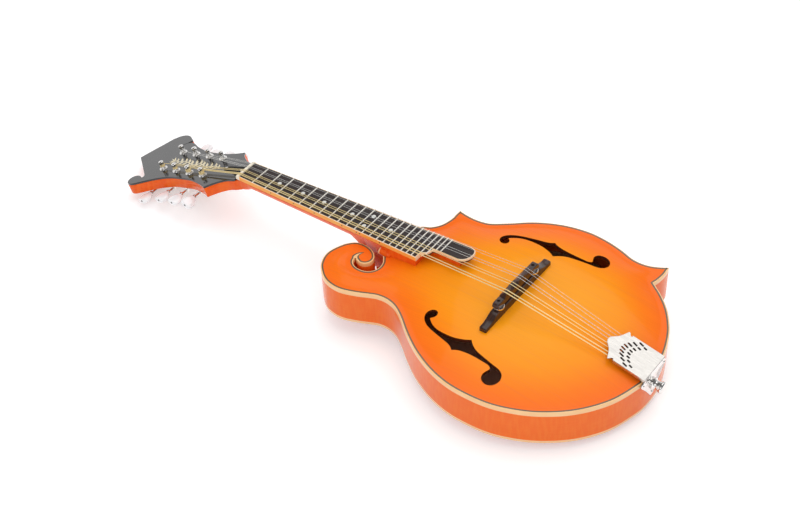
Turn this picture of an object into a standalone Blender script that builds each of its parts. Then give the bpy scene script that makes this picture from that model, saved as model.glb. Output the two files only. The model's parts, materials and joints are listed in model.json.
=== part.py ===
"""An f-style mandolin at rest on its back.

Sizes are in millimetres here and turned into metres by MM. The instrument's own frame has its origin
where the strings leave the nut, +X towards the tail, -Y on the bass side, where the scroll is, and
z = 0 in the plane of the top's edge. One empty holds everything and tips it to its rest on a surface.
"""

import math

import bmesh
import bpy
import numpy as np
from mathutils import Matrix, Vector

MM = 0.001
GAP = 0.3
STEP_IN = 0.05

# Neck and fingerboard
SCALE_LENGTH = 354.0
FRET_COUNT = 24
JOINT_FRET = 15
NECK_ANGLE = 4.955
BOARD_HEIGHT = 15.7
NUT_WIDTH = 28.6
BOARD_WIDTH = 42.0
BOARD_THICKNESS = 5.0
BINDING_WIDTH = 1.4
FRET_WIDTH = 1.1
FRET_HEIGHT = 0.9
NECK_DEPTH = 15.0
HEEL_LENGTH = 40.0
HEEL_WIDTH = 23.0
TENON_WIDTH = 17.4
TENON_LENGTH = 20.0
ROD_RADIUS = 2.7
ROD_SLOT_DEPTH = 9.5

# Body
BODY_LENGTH = 359.0
BODY_WIDTH = 256.0
RIM_DEPTH = 45.2
RIB_THICKNESS = 1.9
PLATE_THICKNESS = 4.0
TOP_ARCH = 11.0
BACK_ARCH = 12.0
EDGE_FLAT = 8.0
BINDING_THICKNESS = 1.9
TOP_BINDING_HEIGHT = 6.0
BACK_BINDING_HEIGHT = 3.0
LINING_WIDTH = 5.0
LINING_HEIGHT = 6.4
BLOCK_LENGTH = 35.0
BLOCK_WIDTH = 68.0
TAIL_BLOCK_LENGTH = 20.0
TAIL_BLOCK_WIDTH = 60.0
TONE_BAR_WIDTH = 6.0
TONE_BAR_HEIGHT = 9.0
TREBLE_HOLE_LEAN = (0.04, -0.036)

# Headstock and tuners
HEAD_ANGLE = 14.47
HEAD_STEP = 3.87
HEAD_THICKNESS = 14.0
VENEER_THICKNESS = 2.0
FIRST_POST = 58.33
POST_PITCH = 22.95
POST_SPREAD = 34.4
POST_RADIUS = 2.9
POST_HEIGHT = 10.0
GEAR_RADIUS = 3.7
GEAR_THICKNESS = 3.0
WORM_RADIUS = 1.9
WORM_DEPTH = 18.5
SHAFT_RADIUS = 1.4
SHAFT_ENDS = (45.2, 45.2, 45.2, 52.0)
PLATE_METAL = 1.0
BUTTON_LENGTH = 15.0
BUTTON_WIDTH = 12.4
BUTTON_THICKNESS = 6.4

# Bridge, tailpiece and strings
BRIDGE_LENGTH = 116.0
BRIDGE_WIDTH = 9.0
BRIDGE_BASE_TOP = 20.0
SADDLE_LENGTH = 72.0
SADDLE_WIDTH = 7.0
STUD_SPREAD = 60.0
STUD_RADIUS = 1.6
WHEEL_RADIUS = 5.9
WHEEL_THICKNESS = 2.6
STRING_HEIGHT = 33.2
SADDLE_SPREAD = 36.4
NUT_SPREAD = 21.4
PAIR_SPACING = 2.2
HOOK_SPREAD = 26.8
STRING_RADII = (0.51, 0.33, 0.2, 0.15)
COVER_WIDTH = 38.0
COVER_LENGTH = 53.4
COVER_SLOPE = 10.6
COVER_METAL = 1.2
TAIL_PLATE_DROP = 34.0
PIN_RADIUS = 3.6
PIN_DEPTH = 15.0

# Proportions that the outlines were drawn to
DRAWN_LENGTH = 359.0
DRAWN_WIDTH = 256.0
DRAWN_JOINT = 204.6
DRAWN_SCALE = 354.0

FINISHES = {
    "spruce": ((0.93, 0.36, 0.03), 0.18, 0.0),
    "maple": ((0.86, 0.16, 0.02), 0.18, 0.0),
    "raw_wood": ((0.72, 0.55, 0.36), 0.7, 0.0),
    "binding": ((0.86, 0.72, 0.48), 0.3, 0.0),
    "ebony": ((0.03, 0.03, 0.03), 0.35, 0.0),
    "rosewood": ((0.07, 0.04, 0.03), 0.4, 0.0),
    "bone": ((0.9, 0.87, 0.78), 0.4, 0.0),
    "pearl": ((0.85, 0.84, 0.82), 0.15, 0.0),
    "nickel": ((0.8, 0.78, 0.75), 0.2, 1.0),
    "steel": ((0.62, 0.62, 0.64), 0.3, 1.0),
    "bronze": ((0.75, 0.55, 0.25), 0.3, 1.0),
}

for old in list(bpy.data.objects):
    bpy.data.objects.remove(old)

parts = bpy.data.collections.new("f_style_mandolin")
cutters = bpy.data.collections.new("cutters")
bpy.context.scene.collection.children.link(parts)
bpy.context.scene.collection.children.link(cutters)


# Frames

def empty(name, parent=None, matrix=None):
    obj = bpy.data.objects.new(name, None)
    parts.objects.link(obj)
    obj.parent = parent
    if matrix is not None:
        obj.matrix_local = matrix
    return obj


def shift(x, y, z):
    return Matrix.Translation(Vector((x, y, z)) * MM)


instrument = empty("instrument")
JOINT_X = SCALE_LENGTH * (1 - 2 ** (-JOINT_FRET / 12)) * math.cos(math.radians(NECK_ANGLE))
NUT_Z = BOARD_HEIGHT - JOINT_X * math.tan(math.radians(NECK_ANGLE))
neck_matrix = shift(0, 0, NUT_Z) @ Matrix.Rotation(-math.radians(NECK_ANGLE), 4, "Y")
neck_frame = empty("neck_frame", instrument, neck_matrix)
head_matrix = (
    neck_matrix @ shift(0, 0, -HEAD_STEP) @ Matrix.Rotation(math.pi, 4, "Z")
    @ Matrix.Rotation(math.radians(HEAD_ANGLE), 4, "Y")
)
head_frame = empty("head_frame", instrument, head_matrix)


def along(matrix, x, y, z):
    """A point of a frame, in the instrument's millimetres."""
    return (matrix @ (Vector((x, y, z)) * MM)) / MM


# Making solids

def link(obj, parent=instrument):
    parts.objects.link(obj)
    obj.parent = parent
    return obj


def finish(obj, kind):
    colour, roughness, metallic = FINISHES[kind]
    material = bpy.data.materials.new(obj.name + "_" + kind)
    material.use_nodes = True
    shader = material.node_tree.nodes["Principled BSDF"]
    shader.inputs["Base Color"].default_value = (*colour, 1)
    shader.inputs["Roughness"].default_value = roughness
    shader.inputs["Metallic"].default_value = metallic
    obj.data.materials.clear()
    obj.data.materials.append(material)
    return obj


def solid(name, bm, parent=instrument, smooth=True):
    """The object of a bmesh that was drawn in millimetres."""
    bmesh.ops.remove_doubles(bm, verts=bm.verts, dist=1e-4)
    bmesh.ops.recalc_face_normals(bm, faces=bm.faces)
    bmesh.ops.scale(bm, vec=(MM, MM, MM), verts=bm.verts)
    mesh = bpy.data.meshes.new(name)
    bm.to_mesh(mesh)
    bm.free()
    if smooth:
        mesh.shade_smooth()
        mesh.set_sharp_from_angle(angle=math.radians(40))
    return link(bpy.data.objects.new(name, mesh), parent)


def as_mesh(obj):
    """A mesh object in place of a curve, with its caps joined to its sides."""
    name, matrix, parent = obj.name, obj.matrix_basis.copy(), obj.parent
    graph = bpy.context.evaluated_depsgraph_get()
    mesh = bpy.data.meshes.new_from_object(obj.evaluated_get(graph))
    bpy.data.objects.remove(obj)
    bm = bmesh.new()
    bm.from_mesh(mesh)
    bmesh.ops.remove_doubles(bm, verts=bm.verts, dist=1e-7)
    bmesh.ops.recalc_face_normals(bm, faces=bm.faces)
    bm.to_mesh(mesh)
    bm.free()
    mesh.shade_smooth()
    mesh.set_sharp_from_angle(angle=math.radians(40))
    new = link(bpy.data.objects.new(name, mesh), parent)
    new.matrix_basis = matrix
    return new


def slab(name, outline, low, high, parent=instrument, matrix=None):
    """A flat outline made solid between two heights of its own Z axis."""
    curve = bpy.data.curves.new(name, "CURVE")
    curve.dimensions = "2D"
    curve.fill_mode = "BOTH"
    curve.extrude = (high - low) / 2 * MM
    spline = curve.splines.new("POLY")
    spline.points.add(len(outline) - 1)
    for point, (x, y) in zip(spline.points, outline):
        point.co = (x * MM, y * MM, 0, 1)
    spline.use_cyclic_u = True
    obj = link(bpy.data.objects.new(name, curve), parent)
    obj.matrix_basis = (matrix or Matrix()) @ shift(0, 0, (low + high) / 2)
    return as_mesh(obj)


def box(name, low, high, parent=instrument):
    bm = bmesh.new()
    bmesh.ops.create_cube(bm, size=1)
    size = [b - a for a, b in zip(low, high)]
    middle = [(a + b) / 2 for a, b in zip(low, high)]
    bmesh.ops.scale(bm, vec=size, verts=bm.verts)
    bmesh.ops.translate(bm, vec=middle, verts=bm.verts)
    return solid(name, bm, parent, smooth=False)


def turned(name, profile, parent, matrix, steps=24):
    """A profile of (radius, height), from its top down, turned about the object's own Z axis."""
    mesh = bpy.data.meshes.new(name)
    points = [(r * MM, 0, z * MM) for r, z in profile]
    edges = [(i, i + 1) for i in range(len(points) - 1)]
    if profile[0] == profile[-1]:
        points.pop()
        edges[-1] = (len(points) - 1, 0)
    mesh.from_pydata(points, edges, [])
    obj = link(bpy.data.objects.new(name, mesh), parent)
    obj.matrix_basis = matrix
    screw = obj.modifiers.new("turn", "SCREW")
    screw.steps = screw.render_steps = steps
    screw.use_merge_vertices = True
    screw.merge_threshold = 1e-6
    screw.use_smooth_shade = True
    return obj


def rod(name, radius, low, high, parent, matrix, steps=24):
    """A plain round bar along the Z axis of a matrix, often used as a drill."""
    profile = [(0, high), (radius, high), (radius, low), (0, low)]
    return turned(name, profile, parent, matrix, steps)


def wire(name, points, radius, parent=instrument, sides=2):
    curve = bpy.data.curves.new(name, "CURVE")
    curve.dimensions = "3D"
    curve.bevel_depth = radius * MM
    curve.bevel_resolution = sides
    curve.use_fill_caps = True
    spline = curve.splines.new("POLY")
    spline.points.add(len(points) - 1)
    for point, place in zip(spline.points, points):
        point.co = (*(Vector(place) * MM), 1)
    return as_mesh(link(bpy.data.objects.new(name, curve), parent))


def loft(name, sections, parent=instrument, smooth=True):
    """A solid through closed sections that have as many points each."""
    bm = bmesh.new()
    rings = [[bm.verts.new(p) for p in section] for section in sections]
    for a, b in zip(rings[:-1], rings[1:]):
        for i in range(len(a)):
            j = (i + 1) % len(a)
            bm.faces.new((a[i], a[j], b[j], b[i]))
    bm.faces.new(rings[0])
    bm.faces.new(rings[-1])
    return solid(name, bm, parent, smooth)


def cut(obj, tool, operation="DIFFERENCE"):
    modifier = obj.modifiers.new(tool.name, "BOOLEAN")
    modifier.operation = operation
    modifier.object = tool
    modifier.solver = "EXACT"
    if tool.name not in cutters.objects:
        parts.objects.unlink(tool)
        cutters.objects.link(tool)
    tool.hide_render = True
    tool.display_type = "WIRE"
    return obj


def turn_to(x, y, z, axis):
    """A matrix at a point whose Z axis runs along X, -X, Y or -Y."""
    angles = {"X": ("Y", 90), "-X": ("Y", -90), "Y": ("X", -90), "-Y": ("X", 90)}
    about, angle = angles[axis]
    return shift(x, y, z) @ Matrix.Rotation(math.radians(angle), 4, about)


# Outlines

def curve_through(points, step=1.5):
    """Points along a smooth curve through the given ones."""
    p = np.array(points, float)
    p = np.vstack([2 * p[0] - p[1], p, 2 * p[-1] - p[-2]])
    out = []
    for a, b, c, d in zip(p[:-3], p[1:-2], p[2:-1], p[3:]):
        t = np.cumsum([0, *(np.sqrt(np.hypot(*(n - m))) for m, n in ((a, b), (b, c), (c, d)))])
        count = max(1, round(np.hypot(*(c - b)) / step))
        for s in np.linspace(t[1], t[2], count, endpoint=False):
            ab = a + (b - a) * (s - t[0]) / (t[1] - t[0])
            bc = b + (c - b) * (s - t[1]) / (t[2] - t[1])
            cd = c + (d - c) * (s - t[2]) / (t[3] - t[2])
            abc = ab + (bc - ab) * (s - t[0]) / (t[2] - t[0])
            bcd = bc + (cd - bc) * (s - t[1]) / (t[3] - t[1])
            out.append(abc + (bcd - abc) * (s - t[1]) / (t[2] - t[1]))
    return out


def thinned(line, tolerance):
    """The line without the points that a chord passes nearer than tolerance."""
    line = np.asarray(line, float)
    keep, waiting = {0, len(line) - 1}, [(0, len(line) - 1)]
    while waiting:
        first, last = waiting.pop()
        if last - first < 2:
            continue
        chord, between = line[last] - line[first], line[first + 1 : last] - line[first]
        share = np.clip(between @ chord / max(chord @ chord, 1e-9), 0, 1)
        away = np.hypot(*(between - share[:, None] * chord).T)
        if away.max() > tolerance:
            middle = first + 1 + int(np.argmax(away))
            keep.add(middle)
            waiting += [(first, middle), (middle, last)]
    return line[sorted(keep)]


def through_runs(runs, tolerance=0, step=1.5):
    """One line through runs of points that meet at corners."""
    lines = [thinned(curve_through(run, step) + [run[-1]], tolerance)[:-1] for run in runs]
    return np.vstack([*lines, runs[-1][-1:]])


def inset(line, distance):
    """An open line moved sideways, to the left of its direction, with mitred corners."""
    steps = np.diff(line, axis=0)
    normals = np.c_[-steps[:, 1], steps[:, 0]] / np.hypot(steps[:, 0], steps[:, 1])[:, None]
    first, second = np.vstack([normals[:1], normals]), np.vstack([normals, normals[-1:]])
    both = first + second
    mitre = both / np.maximum((both * both).sum(1) / 2, 0.2)[:, None]
    return line + mitre * distance


BUTTON_HALF = HEEL_WIDTH / 2 + 0.5
RIM_RUNS = [
    [(204.6, -BUTTON_HALF - GAP), (204.6, -17.5)],
    [(204.6, -17.5), (206.0, -22.0), (208.9, -25.8), (211.8, -30.4), (213.3, -36.8), (211.8, -43.6),
     (207.7, -48.7), (201.8, -51.3), (195.2, -51.7), (189.6, -50.0), (185.6, -46.3), (183.6, -39.0)],
    [(183.6, -39.0), (185.8, -42.0), (188.8, -43.5), (193.8, -44.0), (198.9, -41.3), (201.6, -36.2),
     (200.8, -30.3), (197.6, -26.0), (193.2, -22.9), (188.0, -21.0), (182.4, -20.2), (176.4, -20.7),
     (170.6, -22.8), (165.9, -26.9), (161.9, -32.2), (157.1, -43.7), (155.6, -51.0), (156.2, -58.0),
     (158.6, -65.0), (162.2, -71.2), (172.2, -80.4), (179.5, -84.4), (186.9, -86.2), (194.6, -86.7),
     (202.5, -85.5), (216.3, -80.6), (229.4, -74.5), (236.0, -71.8), (244.5, -70.6), (252.0, -71.3),
     (259.8, -73.8), (271.4, -80.8), (286.9, -92.8), (300.0, -102.0), (313.8, -110.2), (337.3, -120.3),
     (362.4, -126.0), (387.9, -126.3), (410.2, -123.4), (429.8, -117.0), (447.6, -108.5),
     (463.8, -97.6), (478.6, -84.7), (491.7, -68.9), (502.9, -49.9), (510.6, -27.1), (513.9, -12.0),
     (513.9, 12.0), (511.4, 26.6), (506.2, 42.5), (498.8, 58.4), (484.5, 78.4), (469.6, 92.4),
     (454.7, 102.9)],
    [(454.7, 102.9), (456.3, 109.5), (457.3, 118.4), (457.0, 125.0), (456.0, 131.0)],
    [(456.0, 131.0), (448.5, 126.4), (439.1, 122.1), (429.4, 120.2), (419.2, 120.7), (404.9, 124.8),
     (390.1, 127.8), (377.1, 129.1), (363.6, 129.1), (341.3, 124.9), (321.4, 117.2), (303.5, 106.7),
     (286.5, 92.9), (269.7, 80.8), (262.5, 78.4), (254.3, 77.1), (246.5, 77.0), (239.5, 77.6),
     (232.2, 78.8)],
    [(232.2, 78.8), (231.9, 72.0), (232.2, 65.3), (231.2, 58.7), (229.2, 51.5), (225.5, 45.0),
     (220.8, 40.2), (214.0, 36.6), (208.6, 31.0), (205.6, 25.0), (204.6, 20.0)],
    [(204.6, 20.0), (204.6, BUTTON_HALF + GAP)],
]
F_HOLE_RUNS = [
    [(300.8, -68.9), (303.8, -66.2), (304.9, -63.0), (304.0, -59.8), (301.0, -58.2), (297.3, -58.9),
     (294.3, -62.3), (293.7, -67.2), (295.7, -71.6), (299.0, -74.9), (303.6, -77.8), (309.7, -80.2),
     (324.0, -84.0), (335.8, -87.0), (339.8, -88.9), (342.8, -91.4)],
    [(342.8, -91.4), (346.8, -89.2), (352.0, -87.8), (359.7, -87.0), (369.1, -87.0), (378.8, -87.5),
     (384.5, -88.2), (387.5, -90.6), (386.2, -94.2), (384.9, -98.4), (385.9, -103.0), (389.5, -105.9),
     (394.3, -106.6), (399.0, -104.9), (402.4, -100.4), (403.2, -95.4), (400.8, -90.0), (395.7, -86.8),
     (386.4, -85.0), (375.4, -82.7), (364.4, -79.8), (357.6, -75.9), (352.9, -71.6)],
    [(352.9, -71.6), (346.4, -74.9), (337.0, -77.6), (327.2, -78.3), (316.0, -77.4), (308.2, -74.7),
     (303.5, -71.4), (300.8, -68.9)],
]


def on_body(points):
    """Points of the drawn body at this body's size, which grows from the neck joint."""
    return [
        (JOINT_X + GAP + (x - DRAWN_JOINT) * BODY_LENGTH / DRAWN_LENGTH, y * BODY_WIDTH / DRAWN_WIDTH)
        for x, y in points
    ]


fine_rim = through_runs([on_body(run) for run in RIM_RUNS])
rim = through_runs([on_body(run) for run in RIM_RUNS], 0.3)
TAIL_X = float(fine_rim[:, 0].max())
FRONT_X = JOINT_X + GAP


def inside(x, y, line):
    """Which of the points lie inside a closed line."""
    hits = np.zeros(np.shape(x), bool)
    for (x0, y0), (x1, y1) in zip(line, np.roll(line, -1, axis=0)):
        if y0 != y1:
            hits ^= ((y0 > y) != (y1 > y)) & (x < (x1 - x0) * (y - y0) / (y1 - y0) + x0)
    return hits


def rise(x, y, arch):
    """The carved height of a plate: flat near the edge, then swelling to its arch.

    The distance to the edge is a soft one, so that the surface has no ridge: the sum over the rim of
    its length over the cube of the distance gives two over the square of the depth."""
    x, y = np.atleast_1d(x).astype(float), np.atleast_1d(y).astype(float)
    closed = np.vstack([fine_rim, fine_rim[:1]])
    middle, length = (closed[1:] + closed[:-1]) / 2, np.hypot(*np.diff(closed, axis=0).T)
    total = np.zeros(x.shape)
    for (a, b), weight in zip(middle, length):
        total += weight / np.maximum(np.hypot(x - a, y - b), 0.5) ** 3
    depth = np.sqrt(2 / total)
    reach = 0.32 * BODY_WIDTH
    share = np.clip((depth - EDGE_FLAT) / (reach - EDGE_FLAT), 0, 1)
    return np.where(inside(x, y, rim), arch * (1 - (1 - share) ** 2), 0)


def carved(name, z_edge, arch, thickness):
    """A carved slab over the whole body, to be trimmed to the body's outline."""
    low, high = fine_rim.min(axis=0) - 6.3, fine_rim.max(axis=0) + 7.1
    count = [round(c) for c in (high - low) / 14]
    bm = bmesh.new()
    bmesh.ops.create_grid(bm, x_segments=count[0], y_segments=count[1], size=1)
    for vert in bm.verts:
        vert.co.x = low[0] + (vert.co.x + 1) / 2 * (high[0] - low[0])
        vert.co.y = low[1] + (vert.co.y + 1) / 2 * (high[1] - low[1])
    heights = rise([v.co.x for v in bm.verts], [v.co.y for v in bm.verts], arch)
    for vert, height in zip(bm.verts, heights):
        vert.co.z = z_edge + height
    lower = bmesh.ops.extrude_face_region(bm, geom=list(bm.faces))
    moved = [v for v in lower["geom"] if isinstance(v, bmesh.types.BMVert)]
    bmesh.ops.translate(bm, vec=(0, 0, thickness), verts=moved)
    return solid(name, bm)


def strip(line, near, far):
    """The flat outline of a strip that follows a line, between two distances inside it."""
    return np.vstack([inset(line, near), inset(line, far)[::-1]])


# Body

PLATE_INSET = BINDING_THICKNESS + GAP
BLOCK_INSET = RIB_THICKNESS + GAP
BACK_Z = -RIM_DEPTH
TOP_UNDER = -PLATE_THICKNESS - GAP
BACK_OVER = BACK_Z + PLATE_THICKNESS + GAP
reach = 200


def make_plates():
    top = carved("top_plate", 0, TOP_ARCH, -PLATE_THICKNESS)
    edge = slab("top_edge", inset(rim, PLATE_INSET), -PLATE_THICKNESS - 5, TOP_ARCH + 5)
    cut(top, edge, "INTERSECT")
    hole = through_runs([on_body(run) for run in F_HOLE_RUNS], 0.25)[:-1]
    lean = (hole[:, :1] - hole[:, 0].min()) * TREBLE_HOLE_LEAN
    for side, outline in (("bass", hole), ("treble", hole * [1, -1] + lean)):
        cut(top, slab("f_hole_" + side, outline, -reach, reach))
    finish(top, "spruce")

    back = carved("back_plate", BACK_Z, -BACK_ARCH, PLATE_THICKNESS)
    edge = slab("back_edge", inset(rim, PLATE_INSET), -reach, reach)
    cut(back, edge, "INTERSECT")
    arc = [math.pi / 2 + math.pi * i / 12 for i in range(13)]
    round_end = [(FRONT_X - 4 + BUTTON_HALF * math.cos(a), BUTTON_HALF * math.sin(a)) for a in arc]
    root = [(FRONT_X + 12, -BUTTON_HALF), (FRONT_X + 12, BUTTON_HALF)]
    button = slab("heel_button", root + round_end, BACK_Z + STEP_IN, BACK_Z + PLATE_THICKNESS - STEP_IN)
    cut(back, button, "UNION")
    finish(back, "maple")


def make_rim():
    ribs_top = -TOP_BINDING_HEIGHT - GAP
    ribs_foot = BACK_Z + BACK_BINDING_HEIGHT + GAP
    ribs = slab("ribs", strip(rim, 0, RIB_THICKNESS), ribs_foot, ribs_top)
    cut(ribs, drill_for_pin("rib_drill"))
    finish(ribs, "maple")
    edge = strip(rim, 0, BINDING_THICKNESS)
    finish(slab("top_binding", edge, -TOP_BINDING_HEIGHT, 0), "binding")
    finish(slab("back_binding", edge, BACK_Z, BACK_Z + BACK_BINDING_HEIGHT), "binding")


def lining_line():
    """The stretch of the rim that carries lining: from the head block's scroll round to the horn."""
    x_start = FRONT_X + 24
    tip = np.argmax(rim[:, 1] + (rim[:, 0] > FRONT_X + 240) * 40)
    corner = tip - 1
    while rim[corner, 1] > 103.5 * BODY_WIDTH / DRAWN_WIDTH:
        corner -= 1
    start = np.argmax((rim[:, 0] > x_start) & (rim[:, 1] < -60))
    after = tip + 3
    end = np.argmax((rim[:, 0] < FRONT_X + 36) & (rim[:, 1] > 70))
    return np.vstack([rim[start : corner + 1], rim[after:end]])


def make_inside():
    line = lining_line()
    outline = strip(line, BLOCK_INSET, BLOCK_INSET + LINING_WIDTH)
    room = strip(line, BLOCK_INSET - 0.2, BLOCK_INSET + LINING_WIDTH + GAP)
    finish(slab("top_lining", outline, TOP_UNDER - LINING_HEIGHT, TOP_UNDER), "raw_wood")
    finish(slab("back_lining", outline, BACK_OVER, BACK_OVER + LINING_HEIGHT), "raw_wood")

    half = BLOCK_WIDTH / 2
    back_x = FRONT_X + BLOCK_LENGTH
    scroll_x = FRONT_X + 17.5
    around = [(FRONT_X - 80, -reach), (scroll_x, -reach), (scroll_x, -half), (back_x, -half),
              (back_x, half), (FRONT_X, half), (FRONT_X, -BUTTON_HALF), (FRONT_X - 80, -BUTTON_HALF)]
    block = slab("neck_block", around, BACK_OVER, TOP_UNDER)
    cut(block, slab("block_edge", inset(rim, BLOCK_INSET), -reach, reach), "INTERSECT")
    nose = (FRONT_X, -BUTTON_HALF, BACK_OVER), (FRONT_X + 8, BUTTON_HALF, TOP_UNDER)
    cut(block, box("block_nose", *nose), "UNION")
    mortise = TENON_WIDTH / 2 + GAP
    low = (FRONT_X - 5, -mortise, BACK_OVER + 4)
    cut(block, box("mortise", low, (FRONT_X + TENON_LENGTH + GAP, mortise, reach)))
    finish(block, "raw_wood")

    half = TAIL_BLOCK_WIDTH / 2
    tail = box("tail_block", (TAIL_X - TAIL_BLOCK_LENGTH, -half, BACK_OVER), (TAIL_X + 5, half, TOP_UNDER))
    cut(tail, slab("tail_edge", inset(rim, BLOCK_INSET), -reach, reach), "INTERSECT")
    cut(tail, slab("top_lining_room", room, TOP_UNDER - LINING_HEIGHT - GAP, reach))
    cut(tail, slab("back_lining_room", room, -reach, BACK_OVER + LINING_HEIGHT + GAP))
    cut(tail, drill_for_pin("block_drill"))
    finish(tail, "raw_wood")

    for side, sign in (("bass", -1), ("treble", 1)):
        sections = []
        for share in np.linspace(0, 1, 13):
            x = FRONT_X + (0.18 + 0.5 * share) * BODY_LENGTH
            y = sign * (0.09 + 0.05 * share) * BODY_WIDTH
            sides = (y - TONE_BAR_WIDTH / 2, y + TONE_BAR_WIDTH / 2)
            tops = rise([x, x], sides, TOP_ARCH) + TOP_UNDER - 0.1
            foot = tops.min() - TONE_BAR_HEIGHT * (0.25 + 0.75 * math.sin(math.pi * share))
            sections.append([(x, sides[0], tops[0]), (x, sides[1], tops[1]),
                             (x, sides[1] - 1, foot), (x, sides[0] + 1, foot)])
        finish(loft("tone_bar_" + side, sections), "raw_wood")


def drill_for_pin(name):
    return rod(name, PIN_RADIUS + GAP, -40, 10, instrument, turn_to(TAIL_X, 0, -PIN_DEPTH, "X"), 16)


# Neck

def board_half(x):
    """Half of the fingerboard's width at a place along it."""
    last = SCALE_LENGTH * (1 - 2 ** (-20 / 12))
    return NUT_WIDTH / 2 + (BOARD_WIDTH - NUT_WIDTH) / 2 * min(x / last, 1)


def glue_z(x):
    """The height of the neck's upper face, under the fingerboard."""
    lean = math.radians(NECK_ANGLE)
    return NUT_Z + x * math.tan(lean) - (BOARD_THICKNESS + GAP) / math.cos(lean)


def neck_section(x, half, depth, square):
    """A section across the neck: flat on top and round below, fuller where square is higher."""
    points = []
    for i in range(15):
        angle = math.pi * i / 14
        c, s = math.cos(angle), math.sin(angle)
        y = math.copysign(abs(c) ** (2 / square), c) * half
        points.append((x, y, glue_z(x) - depth * abs(s) ** (2 / square)))
    return points


def make_neck():
    heel_z = BACK_Z + PLATE_THICKNESS + GAP
    start = JOINT_X - HEEL_LENGTH
    sections = []
    for x in np.linspace(-5, start - 12, 8):
        sections.append(neck_section(x, board_half(x), NECK_DEPTH + 0.014 * x, 1.8))
    deep = glue_z(JOINT_X) - heel_z
    for share in (0, 0.2, 0.4, 0.58, 0.74, 0.88, 1.0):
        x = start + HEEL_LENGTH * share
        shallow = NECK_DEPTH + 0.014 * x
        depth = shallow + (deep - shallow) * share ** 2.3
        sections.append(neck_section(x, board_half(x), depth, 1.8 + 0.9 * share))
    neck = loft("neck", sections)

    volute = []
    for x, half, depth in ((-26, 3, 6), (-18, 9, 9), (-10, 12, 12), (-2, 13.5, 14)):
        top = along(head_matrix, -x, 0, -VENEER_THICKNESS - 3).z
        ring = neck_section(x, half, depth, 2.2)
        volute.append([(px, py, pz - glue_z(x) + top) for px, py, pz in ring])
    cut(neck, loft("volute", volute), "UNION")

    wood_top = -VENEER_THICKNESS - GAP
    outline = [(2.5, -14.2), (2.5, 14.2)] + list(head_outline())
    wood = slab("headstock_wood", outline, -HEAD_THICKNESS, wood_top, head_frame)
    cut(neck, wood, "UNION")

    low = (JOINT_X - 4, -TENON_WIDTH / 2, heel_z + 4 + GAP)
    tenon = box("tenon", low, (JOINT_X + TENON_LENGTH, TENON_WIDTH / 2, -PLATE_THICKNESS - 4))
    cut(neck, tenon, "UNION")
    board_end = BOARD_END * SCALE_LENGTH / DRAWN_SCALE
    extension_end = EXTENSION_END * SCALE_LENGTH / DRAWN_SCALE
    riser = make_riser("riser", JOINT_X - 4, board_end - 2.1, 0.02, under_board)
    cut(neck, riser, "UNION")
    riser = make_riser("extension_riser", board_end - 8.6, extension_end - 11.4, STEP_IN, under_extension)
    cut(neck, riser, "UNION")

    slot = ROD_RADIUS + 0.5
    angle = Matrix.Rotation(-math.radians(NECK_ANGLE), 4, "Y")
    trench = box("rod_slot", (-15.5, -slot, -ROD_SLOT_DEPTH), (JOINT_X - 18, slot, 30))
    trench.matrix_basis = shift(0, 0, glue_z(0)) @ angle
    cut(neck, trench)
    for index, (s, b) in enumerate(post_places()):
        drill = rod(f"neck_drill_{index + 1}", POST_RADIUS + GAP, -30, 20, head_frame, shift(s, b, 0), 16)
        cut(neck, drill)
    finish(neck, "maple")

    middle = -ROD_SLOT_DEPTH + ROD_RADIUS + GAP
    place = neck_axis(-14.5, middle)
    length = JOINT_X - 20 + 14
    nut = ROD_RADIUS + 0.3
    profile = [(0, length), (ROD_RADIUS, length), (ROD_RADIUS, 9), (nut, 9), (nut, 0), (0, 0)]
    finish(turned("truss_rod", profile, instrument, place, 12), "steel")


def neck_axis(x, below):
    """A matrix on the neck's glue face line whose Z axis runs along the neck, towards the body."""
    turn = Matrix.Rotation(math.radians(90 - NECK_ANGLE), 4, "Y")
    lean = Matrix.Rotation(-math.radians(NECK_ANGLE), 4, "Y")
    return shift(0, 0, glue_z(0)) @ lean @ shift(x, 0, below) @ lean.inverted() @ turn


def make_riser(name, x_start, x_end, lower, sides):
    """The wood between the top and the fingerboard, shaped to the top's arch."""
    count_x, count_y = 10, 6
    bm = bmesh.new()
    grid = []
    for x in np.linspace(x_start, x_end, count_x):
        low, high = sides(x)
        y = np.linspace(low, high, count_y)
        foot = rise(np.full(count_y, x), y, TOP_ARCH) + GAP + 0.35
        grid.append([(bm.verts.new((x, b, f)), bm.verts.new((x, b, glue_z(x) - lower))) for b, f in zip(y, foot)])
    for i in range(count_x - 1):
        for j in range(count_y - 1):
            for k in (0, 1):
                bm.faces.new((grid[i][j][k], grid[i + 1][j][k], grid[i + 1][j + 1][k], grid[i][j + 1][k]))
    for i in range(count_x - 1):
        for j in (0, count_y - 1):
            bm.faces.new((grid[i][j][0], grid[i + 1][j][0], grid[i + 1][j][1], grid[i][j][1]))
    for j in range(count_y - 1):
        for i in (0, count_x - 1):
            bm.faces.new((grid[i][j][0], grid[i][j + 1][0], grid[i][j + 1][1], grid[i][j][1]))
    return solid(name, bm)


def under_board(x):
    return 1.2 - board_half(x), board_half(x) - 1.2


def under_extension(x):
    return 3.0, BOARD_WIDTH / 2 - 4.0


BOARD_END = 248.6
EXTENSION_END = 297.4
BOARD_END_RUNS = [
    [(BOARD_END, -13.4), (250.6, -11.6), (253.8, -9.6), (256.0, -6.8), (257.2, -2.2)],
    [(257.2, -2.2), (262.0, -1.5), (286.5, -1.4)],
    [(286.5, -1.4), (291.5, 0.3), (295.4, 4.0), (EXTENSION_END, 9.5), (297.2, 15.5), (294.6, 19.4),
     (289.5, 21.0)],
]


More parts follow.
